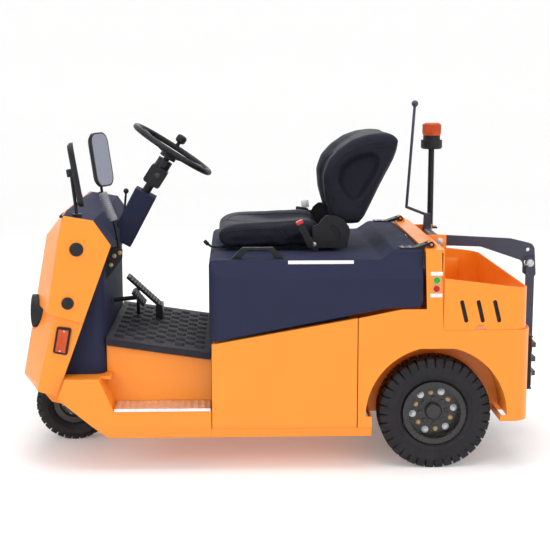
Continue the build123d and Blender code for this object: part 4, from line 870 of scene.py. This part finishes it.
# %% Tiles in rows
tile_tree, tile_in, tile_out, tile_keys = geometry_tree("tile_rows", {
    "Tile": "Object", "Columns": "Int", "Rows": "Int", "Length": "Float", "Width": "Float", "Turn": "Float",
    "Finish": "Material",
})
grid = add(tile_tree, "GeometryNodeMeshGrid")
euler = add(tile_tree, "ShaderNodeCombineXYZ")
tile_info = add(tile_tree, "GeometryNodeObjectInfo", transform_space="ORIGINAL")
onto = add(tile_tree, "GeometryNodeInstanceOnPoints")
real = add(tile_tree, "GeometryNodeRealizeInstances")
coat = add(tile_tree, "GeometryNodeSetMaterial")
for a, b in (
    (tile_in.outputs["Columns"], grid.inputs["Vertices X"]),
    (tile_in.outputs["Rows"], grid.inputs["Vertices Y"]),
    (tile_in.outputs["Length"], grid.inputs["Size X"]),
    (tile_in.outputs["Width"], grid.inputs["Size Y"]),
    (grid.outputs["Mesh"], onto.inputs["Points"]),
    (tile_in.outputs["Tile"], tile_info.inputs["Object"]),
    (tile_info.outputs["Geometry"], onto.inputs["Instance"]),
    (tile_in.outputs["Turn"], euler.inputs["Z"]),
    (euler.outputs["Vector"], onto.inputs["Rotation"]),
    (onto.outputs["Instances"], real.inputs["Geometry"]),
    (real.outputs["Geometry"], coat.inputs["Geometry"]),
    (tile_in.outputs["Finish"], coat.inputs["Material"]),
    (coat.outputs["Geometry"], tile_out.inputs["Geometry"]),
):
    tile_tree.links.new(a, b)


def laid(name, tile, columns, rows, length, width, turn, look, where):
    """Mesh of tiles in rows, moved to where they lie."""
    values = {"Tile": tile, "Columns": columns, "Rows": rows, "Length": length, "Width": width, "Turn": turn,
              "Finish": finishes[look]}
    mesh = grown(tile_tree, tile_keys, values, name)
    mesh.transform(where)
    return mesh


print("tile tree ready")

# %% [markdown]
# The mat rises towards the pedals, so its tiles are laid flat and then tipped by the same slope. Four
# wavy bars side by side make one tile, and two grids, one shifted by half a step, fill the mat.


# %% Floor mat bars
def wavy_bar(length, width, height, wave, shift):
    """Short raised bar with a gentle double bend, along X."""
    rings = []
    steps = 9
    for i in range(steps):
        share = i / (steps - 1)
        x = (share - 0.5) * length
        y = shift + wave * math.sin(share * 2 * math.pi)
        taper = 0.35 if i in (0, steps - 1) else 1.0
        half = width / 2 * taper
        rings.append([(x, y - half, -0.001), (x, y - half * 0.6, height * taper),
                      (x, y + half * 0.6, height * taper), (x, y + half, -0.001)])
    return lofted(rings, "wavy_bar")


mat_low, mat_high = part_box("floor_mat")
mat_rise = 0.15
mat_length = mat_high.x - mat_low.x
mat_middle = Vector(((mat_low.x + mat_high.x) / 2, 0, mat_high.z - mat_rise * mat_length / 2))
mat_place = leaning(mat_middle, -math.degrees(math.atan(mat_rise)))
bar_pitch = 0.0105
bar_group = bpy.data.objects.new("bar_group", joined(
    [wavy_bar(length=0.036, width=0.0062, height=0.0022, wave=0.0022, shift=bar_pitch * (k - 1.5))
     for k in range(4)], "bar_group"))
bars = [laid("bars_a", bar_group, columns=5, rows=8, length=0.304, width=0.630, turn=0.0,
             look="mat_rubber", where=mat_place),
        laid("bars_b", bar_group, columns=4, rows=7, length=0.228, width=0.540, turn=0.0,
             look="mat_rubber", where=mat_place)]
add_piece("floor_mat_bars", joined(bars, "floor_mat_bars"), "mat_rubber", "chassis")
print("mat middle", tuple(round(v, 3) for v in mat_middle))

# %% [markdown]
# Checker plate has pointed marks that lean to one side in one row and to the other side in the next.
# The nose of each step has a row of fine teeth, sunk so that they stay inside the plate's width.


# %% Checker plate lozenges and the toothed nose of the step
def lozenge(length, width, height):
    """Pointed raised mark of checker plate, along X."""
    foot = [(-length / 2, 0, 0), (0, -width / 2, 0), (length / 2, 0, 0), (0, width / 2, 0)]
    crown = [(x * 0.62, y * 0.45, height) for x, y, z in foot]
    return bpy.data.objects.new("lozenge", soft_edges(lofted([foot, crown], "lozenge"), 20))


step_low, step_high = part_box("step_plates")
tooth_height = 0.0014
mark = lozenge(length=0.021, width=0.007, height=0.0009)
tooth = lozenge(length=0.011, width=0.0045, height=tooth_height)
step_middle_x = (step_low.x + step_high.x) / 2
step_inner_y = 0.368
marks = []
for side in (1, -1):
    middle = Vector((step_middle_x, side * (step_inner_y + step_high.y) / 2, step_high.z))
    flat = Matrix.Translation(middle)
    marks.append(laid("marks_a", mark, columns=13, rows=5, length=0.312, width=0.104, turn=math.pi / 4,
                      look="step_aluminium", where=flat))
    marks.append(laid("marks_b", mark, columns=12, rows=4, length=0.286, width=0.078, turn=-math.pi / 4,
                      look="step_aluminium", where=flat))
    nose_y, nose_z = side * (step_high.y - tooth_height), (step_low.z + step_high.z) / 2
    nose = facing((step_middle_x, nose_y, nose_z), (0, side, 0))
    marks.append(laid("teeth", tooth, columns=48, rows=1, length=0.338, width=0.0, turn=math.pi / 3,
                      look="step_aluminium", where=nose))
add_piece("step_marks", joined(marks, "step_marks"), "step_aluminium", "chassis")
print("step marks laid")

# %% [markdown]
# Single fasteners hold what the rings do not: the lever's pivots, the link bolt with its split pin,
# the hitch, the hinges, the belt anchor and the column. Each one is a place and the way it faces.


# %% Screw heads and single fasteners
def domed_head(name, radius, height):
    """Low round head of a screw or rivet, along +Z."""
    profile = [(radius, -0.0005), (radius, height * 0.3), (radius * 0.86, height * 0.7),
               (radius * 0.55, height * 0.93), (radius * 0.02, height)]
    return bpy.data.objects.new(name, spun(profile, name, 24))


def fixed(name, fastener, spots, look, body):
    """Copies of a fastener at places, each with the way that it faces."""
    copies = []
    for spot, way in spots:
        copy = fastener.data.copy()
        copy.transform(facing(spot, way))
        copies.append(copy)
    return add_piece(name, soft_edges(joined(copies, name)), look, body)


pivot_nut = hex_bolt("pivot_nut", across=0.022, height=0.009, washer=0.030)
frame_bolt = hex_bolt("frame_bolt", across=0.017, height=0.008, washer=0.026)
small_bolt = hex_bolt("small_bolt", across=0.010, height=0.005, washer=0.016)
screw = domed_head("screw", radius=0.0035, height=0.0018)
wide_screw = domed_head("wide_screw", radius=0.011, height=0.003)
leftwards, rightwards, rearwards, upwards = (0, 1, 0), (0, -1, 0), (-1, 0, 0), (0, 0, 1)
print("fasteners ready")

# %% Release lever, link and hitch
pivot_x, pivot_z = -0.603, 0.795
link_x, link_z = -0.974, 0.702
hitch_face_x = -0.892
pivot_ends = [((pivot_x, 0.051, pivot_z), leftwards), ((pivot_x, -0.311, pivot_z), rightwards)]
fixed("pivot_nuts", pivot_nut, pivot_ends, "bright_zinc", "chassis")
fixed("link_nut", pivot_nut, [((link_x, 0.018, link_z), leftwards)], "bright_zinc", "pin")
split_pin = tube(curve([(link_x, 0.0285, link_z), (link_x + 0.014, 0.028, link_z - 0.003),
                        (link_x + 0.026, 0.026, link_z - 0.007)]), 0.0012, "split_pin", 8)
add_piece("split_pin", split_pin, "bright_zinc", "pin")
hitch_corners = [((hitch_face_x, y, z), rearwards) for y in (0.07, -0.07) for z in (0.245, 0.389)]
fixed("hitch_bolts", frame_bolt, hitch_corners, "dark_steel", "chassis")
print("lever, link and hitch fastened")

# %% Hinges, belt, column and brake
hinge_y, hinge_top = 0.424, 0.826
hinge_holes = [((x, side * (hinge_y + dy), hinge_top), upwards) for side in (1, -1)
               for x in (-0.432, -0.404) for dy in (0.014, -0.014)]
fixed("hinge_screws", screw, hinge_holes, "bright_zinc", "hood")
fixed("belt_anchor", small_bolt, [((-0.094, 0.252, 0.813), leftwards)], "bright_zinc", "hood")
column_ears = [((0.505, side * 0.042, 1.057), (0, side, 0)) for side in (1, -1)]
fixed("column_bolts", wide_screw, column_ears, "dark_steel", "chassis")
brake_y = 0.277
brake_holes = [((x, brake_y, z), leftwards) for x, z in ((0.655, 0.776), (0.634, 0.788), (0.668, 0.742))]
fixed("brake_bolts", small_bolt, brake_holes, "brass_zinc", "chassis")
print("single fasteners set")

# %% [markdown]
# Rubber plugs close the holes in the cowl, and the indicator lens is held by two screws. The hand
# brake has a grey grip with teeth for the fingers, and the slide lever has a rubber tip.

# %% Plugs and indicator screws
plug_y, plug_height = 0.479, 0.0065
for name, x, z, radius in (("plug_high", 0.770, 0.828, 0.0245), ("plug_low", 0.806, 0.633, 0.022)):
    dome = domed_head(name, radius, plug_height).data
    dome.transform(facing((x, plug_y, z), leftwards))
    add_piece(name, both_sides(dome, name), "black_plastic", "chassis")
indicator_y = 0.477
indicator_holes = [((x, side * indicator_y, z), (0, side, 0)) for side in (1, -1)
                   for x, z in ((0.8215, 0.531), (0.839, 0.458))]
fixed("indicator_screws", screw, indicator_holes, "bright_zinc", "chassis")
print("plugs and indicator screws set")

# %% Brake grip and slide tip
grip_foot = Vector((0.655, 0.27, 0.908))
grip_head = Vector((0.694, 0.27, 1.012))
grip_front = Vector((1, 0, -(grip_head.x - grip_foot.x) / (grip_head.z - grip_foot.z))).normalized()
grip_path = []
grip_sizes = []
grip_steps, tooth_reach = 28, 0.0032
for i in range(grip_steps + 1):
    tooth_out = i % 2 and 3 < i < 25
    grip_path.append(grip_foot.lerp(grip_head, i / grip_steps) + grip_front * (tooth_reach if tooth_out else 0))
    grip_sizes.append(0.0140 if i in (0, grip_steps) else 0.0160)
add_piece("brake_grip", tube(grip_path, grip_sizes, "brake_grip", 20), "grip_rubber", "chassis")
tip = tube([(0.306, 0.15, 0.7995), (0.310, 0.15, 0.803), (0.320, 0.15, 0.813), (0.3225, 0.15, 0.8155)],
           [0.0055, 0.0075, 0.0075, 0.005], "slide_tip", 14)
add_piece("slide_tip", tip, "black_plastic", "hood")
print("grip and tip set")

# %% [markdown]
# The slots in the parcel box are darkened with painted shade: a black plate behind them stands in for
# the shade inside the box, and a plate in the body colour covers it on the inside of the box. Two thin
# blocks a side are enough.

# %% Painted shade plates behind the box slots
slots_x, slots_z = -0.684, 0.597
# The black plate is painted shade: it darkens the slots as if the inside of the box were in shadow.
shade_and_cover_plates = {"slot_liners": ("black_plastic", 0.4822, (0.172, 0.0014, 0.101)),
          "slot_covers": ("orange_paint", 0.4800, (0.184, 0.0034, 0.113))}
for name, (look, y, size) in shade_and_cover_plates.items():
    plate = block(size, Matrix.Translation((slots_x, y, slots_z)), name, bevel=0.0005)
    add_piece(name, both_sides(plate, name), look, "chassis")
print("slots lined")

# %% [markdown]
# Pedals have ribbed rubber, so that a wet shoe doesn't slip. The ribs are one row of tiles, so the tree
# that lays the mat lays them too, and each row is tipped to lie on its pedal.

# %% Pedal rubbers
brake_pad = leaning((0.587, 0, 0.570), -50) @ Matrix.Translation((0, 0, 0.007))
drive_pad = leaning((0.573, -0.15, 0.568), -42.9) @ Matrix.Translation((0, 0, 0.0055))
brake_rib = bpy.data.objects.new("brake_rib", block((0.0055, 0.094, 0.004), Matrix(), "brake_rib"))
drive_rib = bpy.data.objects.new("drive_rib", block((0.006, 0.082, 0.003), Matrix(), "drive_rib"))
ribs = [laid("brake_ribs", brake_rib, columns=6, rows=1, length=0.055, width=0.0, turn=0.0,
             look="mat_rubber", where=brake_pad),
        laid("drive_ribs", drive_rib, columns=12, rows=1, length=0.1595, width=0.0, turn=0.0,
             look="mat_rubber", where=drive_pad)]
add_piece("pedal_ribs", soft_edges(joined(ribs, "pedal_ribs")), "mat_rubber", "chassis")
print("pedals with ribs", len(ribs))

# %% [markdown]
# The belt buckle has a red release button. On the far side the belt leaves its reel, and its latch
# rests beside the cushion with a small blank tag.

# %% Belt fittings
buckle_lean, belt_lean, tag_lean = 26, -9, 6
buckle_axis = Vector((math.sin(math.radians(buckle_lean)), 0, math.cos(math.radians(buckle_lean))))
buckle_middle = Vector((-0.059, 0.259, 0.855))
buckle_top = leaning(buckle_middle + buckle_axis * 0.0465, buckle_lean)
button = block((0.0272, 0.0252, 0.015), buckle_top, "buckle_button", bevel=0.003)
add_piece("buckle_button", button, "red_plastic", "hood")
belt_y = -0.266
strap = block((0.092, 0.0016, 0.044), leaning((-0.100, belt_y, 0.868), belt_lean), "belt_strap", bevel=0.0006)
latch = block((0.052, 0.016, 0.034), leaning((-0.074, belt_y, 0.884), belt_lean), "belt_latch", bevel=0.005)
belt = soft_edges(joined([strap, latch], "belt_strap"))
add_piece("belt_strap", belt, "black_plastic", "hood")
tag = block((0.032, 0.0008, 0.030), leaning((-0.088, belt_y, 0.914), tag_lean), "belt_tag", bevel=0.0003)
add_piece("belt_tag", tag, "blank_plate", "hood")
print("belt fittings set")

# %% [markdown]
# Bright rings frame the push buttons, and the plates beside them are blank. A white blank strip lies on
# the sloped edge of the hood: a ray finds the sheet and its normal there, and the strip takes both.

# %% Button rings and plates
pillar_y = 0.490
hoop_section = [(0.0110, 0), (0.0135, 0), (0.0132, 0.0018), (0.0113, 0.0018)]
button_rings = []
for x, z in ((-0.522, 0.712), (-0.521, 0.681)):
    hoop = spun(hoop_section, "button_ring", 40, loop=True)
    hoop.transform(facing((x, pillar_y, z), leftwards))
    button_rings.append(hoop)
add_piece("button_rings", soft_edges(joined(button_rings, "button_rings")), "bright_zinc", "chassis")
plates = [block((0.044, 0.0008, 0.014), Matrix.Translation((-0.521, 0.4903, z)), "plate", 0.0003)
          for z in (0.736, 0.657)]
add_piece("button_plates", soft_edges(joined(plates, "button_plates")), "blank_plate", "chassis")
print("button rings and plates set")

# %% Strip on the hood
above_strip = Vector((-0.1045, 0.469, 1.0))
hood_skin = surface(frame["nodes"]["battery_hood"].data)
spot, lie = hood_skin.ray_cast(above_strip, Vector((0, 0, -1)))[:2]
side_way = Vector((1, 0, 0)).cross(lie) * -1
lay = Matrix((Vector((1, 0, 0)), side_way, lie)).transposed().to_4x4()
strip = block((0.237, 0.013, 0.0008), Matrix.Translation(spot) @ lay, "hood_strip", 0.0003)
add_piece("hood_strip", strip, "blank_plate", "hood")
print("strip at", tuple(round(v, 3) for v in spot), "normal", tuple(round(v, 2) for v in lie))

# %% [markdown]
# Lamps are cups with a bright dish behind clear glass. The headlamp's CAD lens is a plain disc, so a
# thin domed glass takes its place, with a dish and a bulb behind it. The tail lamps get clear and
# amber fields and a black tray, and the beacon gets the ribs that spread its light.


# %% Headlamps
def at_lamps(mesh, name, look):
    """Piece at both headlamps, facing forwards."""
    mesh.transform(facing(headlamp_seat, (1, 0, 0)))
    return add_piece(name, both_sides(mesh, name), look, "chassis")


headlamp_seat = (0.9424, 0.3, 0.575)
glass = spun([(0.0535, 0.001), (0.0535, 0.0130), (0.0500, 0.0165), (0.0300, 0.0182), (0.0005, 0.0188),
              (0.0005, 0.0170), (0.0300, 0.0164), (0.0485, 0.0148), (0.0515, 0.0120), (0.0515, 0.001)],
             "lamp_glasses", 64, loop=True)
lamp_glasses = at_lamps(glass, "lamp_glasses", "lamp_glass")
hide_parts("headlamp_lenses")
dish = spun([(0.0514, 0.0115), (0.0470, 0.0075), (0.0330, 0.0028), (0.0130, 0.0008), (0.0005, 0.0006)],
            "lamp_dishes", 64)
at_lamps(dish, "lamp_dishes", "lamp_chrome")
bulb = spun([(0.0065, 0.0008), (0.0065, 0.0040), (0.0045, 0.0080), (0.0005, 0.0095)], "lamp_bulbs", 24)
at_lamps(bulb, "lamp_bulbs", "blank_plate")
print("headlamps set")

# %% Tail lamps
tail_y = 0.370
fields = {"tail_amber": ("amber_lens", 0.452), "tail_clear": ("lamp_white", 0.323)}
for name, (look, z) in fields.items():
    field = block((0.0016, 0.072, 0.050), Matrix.Translation((-0.8962, tail_y, z)), name, bevel=0.0006)
    add_piece(name, both_sides(field, name), look, "chassis")
tray = [block((0.020, 0.086, 0.006), Matrix.Translation((-0.887, tail_y, z)), "tray", bevel=0.0012)
        for z in (0.4855, 0.2895)]
tray += [block((0.016, 0.0025, 0.196), Matrix.Translation((-0.885, y, 0.3875)), "tray", bevel=0.0008)
         for y in (0.329, 0.411)]
trays = both_sides(joined(tray, "tail_trays"), "tail_trays")
add_piece("tail_trays", trays, "black_plastic", "chassis")
print("tail lamps set")

# %% Beacon ribs
beacon_foot = Matrix.Translation((-0.628, -0.36, 1.201))
rib_height, rib_radius, rib_ring = 0.038, 0.0022, 0.0375
rib = bpy.data.objects.new("beacon_rib", tube([(0, 0, 0), (0, 0, rib_height)], rib_radius, "beacon_rib", 8))
ring_of("beacon_ribs", rib, 26, rib_ring, 0.0, "amber_lens", beacon_foot, "chassis")
print("beacon ribs set")

# %% [markdown]
# Clamps join the mirrors to their stems, and a cap covers the nut of the steering wheel. The cap turns
# with the wheel, so it rides on the steering body.

# %% Mirror clamps and steering cap
clamp = block((0.030, 0.024, 0.028), leaning((0.788, 0.430, 1.098), 9), "mirror_clamps", 0.003)
add_piece("mirror_clamps", both_sides(clamp, "mirror_clamps"), "black_plastic", "chassis")
column_rake, cap_drop = 33, 0.011
column_axis = Vector((-math.sin(math.radians(column_rake)), 0, math.cos(math.radians(column_rake))))
wheel_centre = Vector((0.446, 0, 1.157))
cap = spun([(0.034, -0.001), (0.034, 0.003), (0.030, 0.0065), (0.018, 0.0085), (0.0005, 0.009)],
           "steering_cap", 40)
cap.transform(facing(wheel_centre - column_axis * cap_drop, column_axis))
add_piece("steering_cap", cap, "black_plastic", "steering")
print("clamps and cap set")
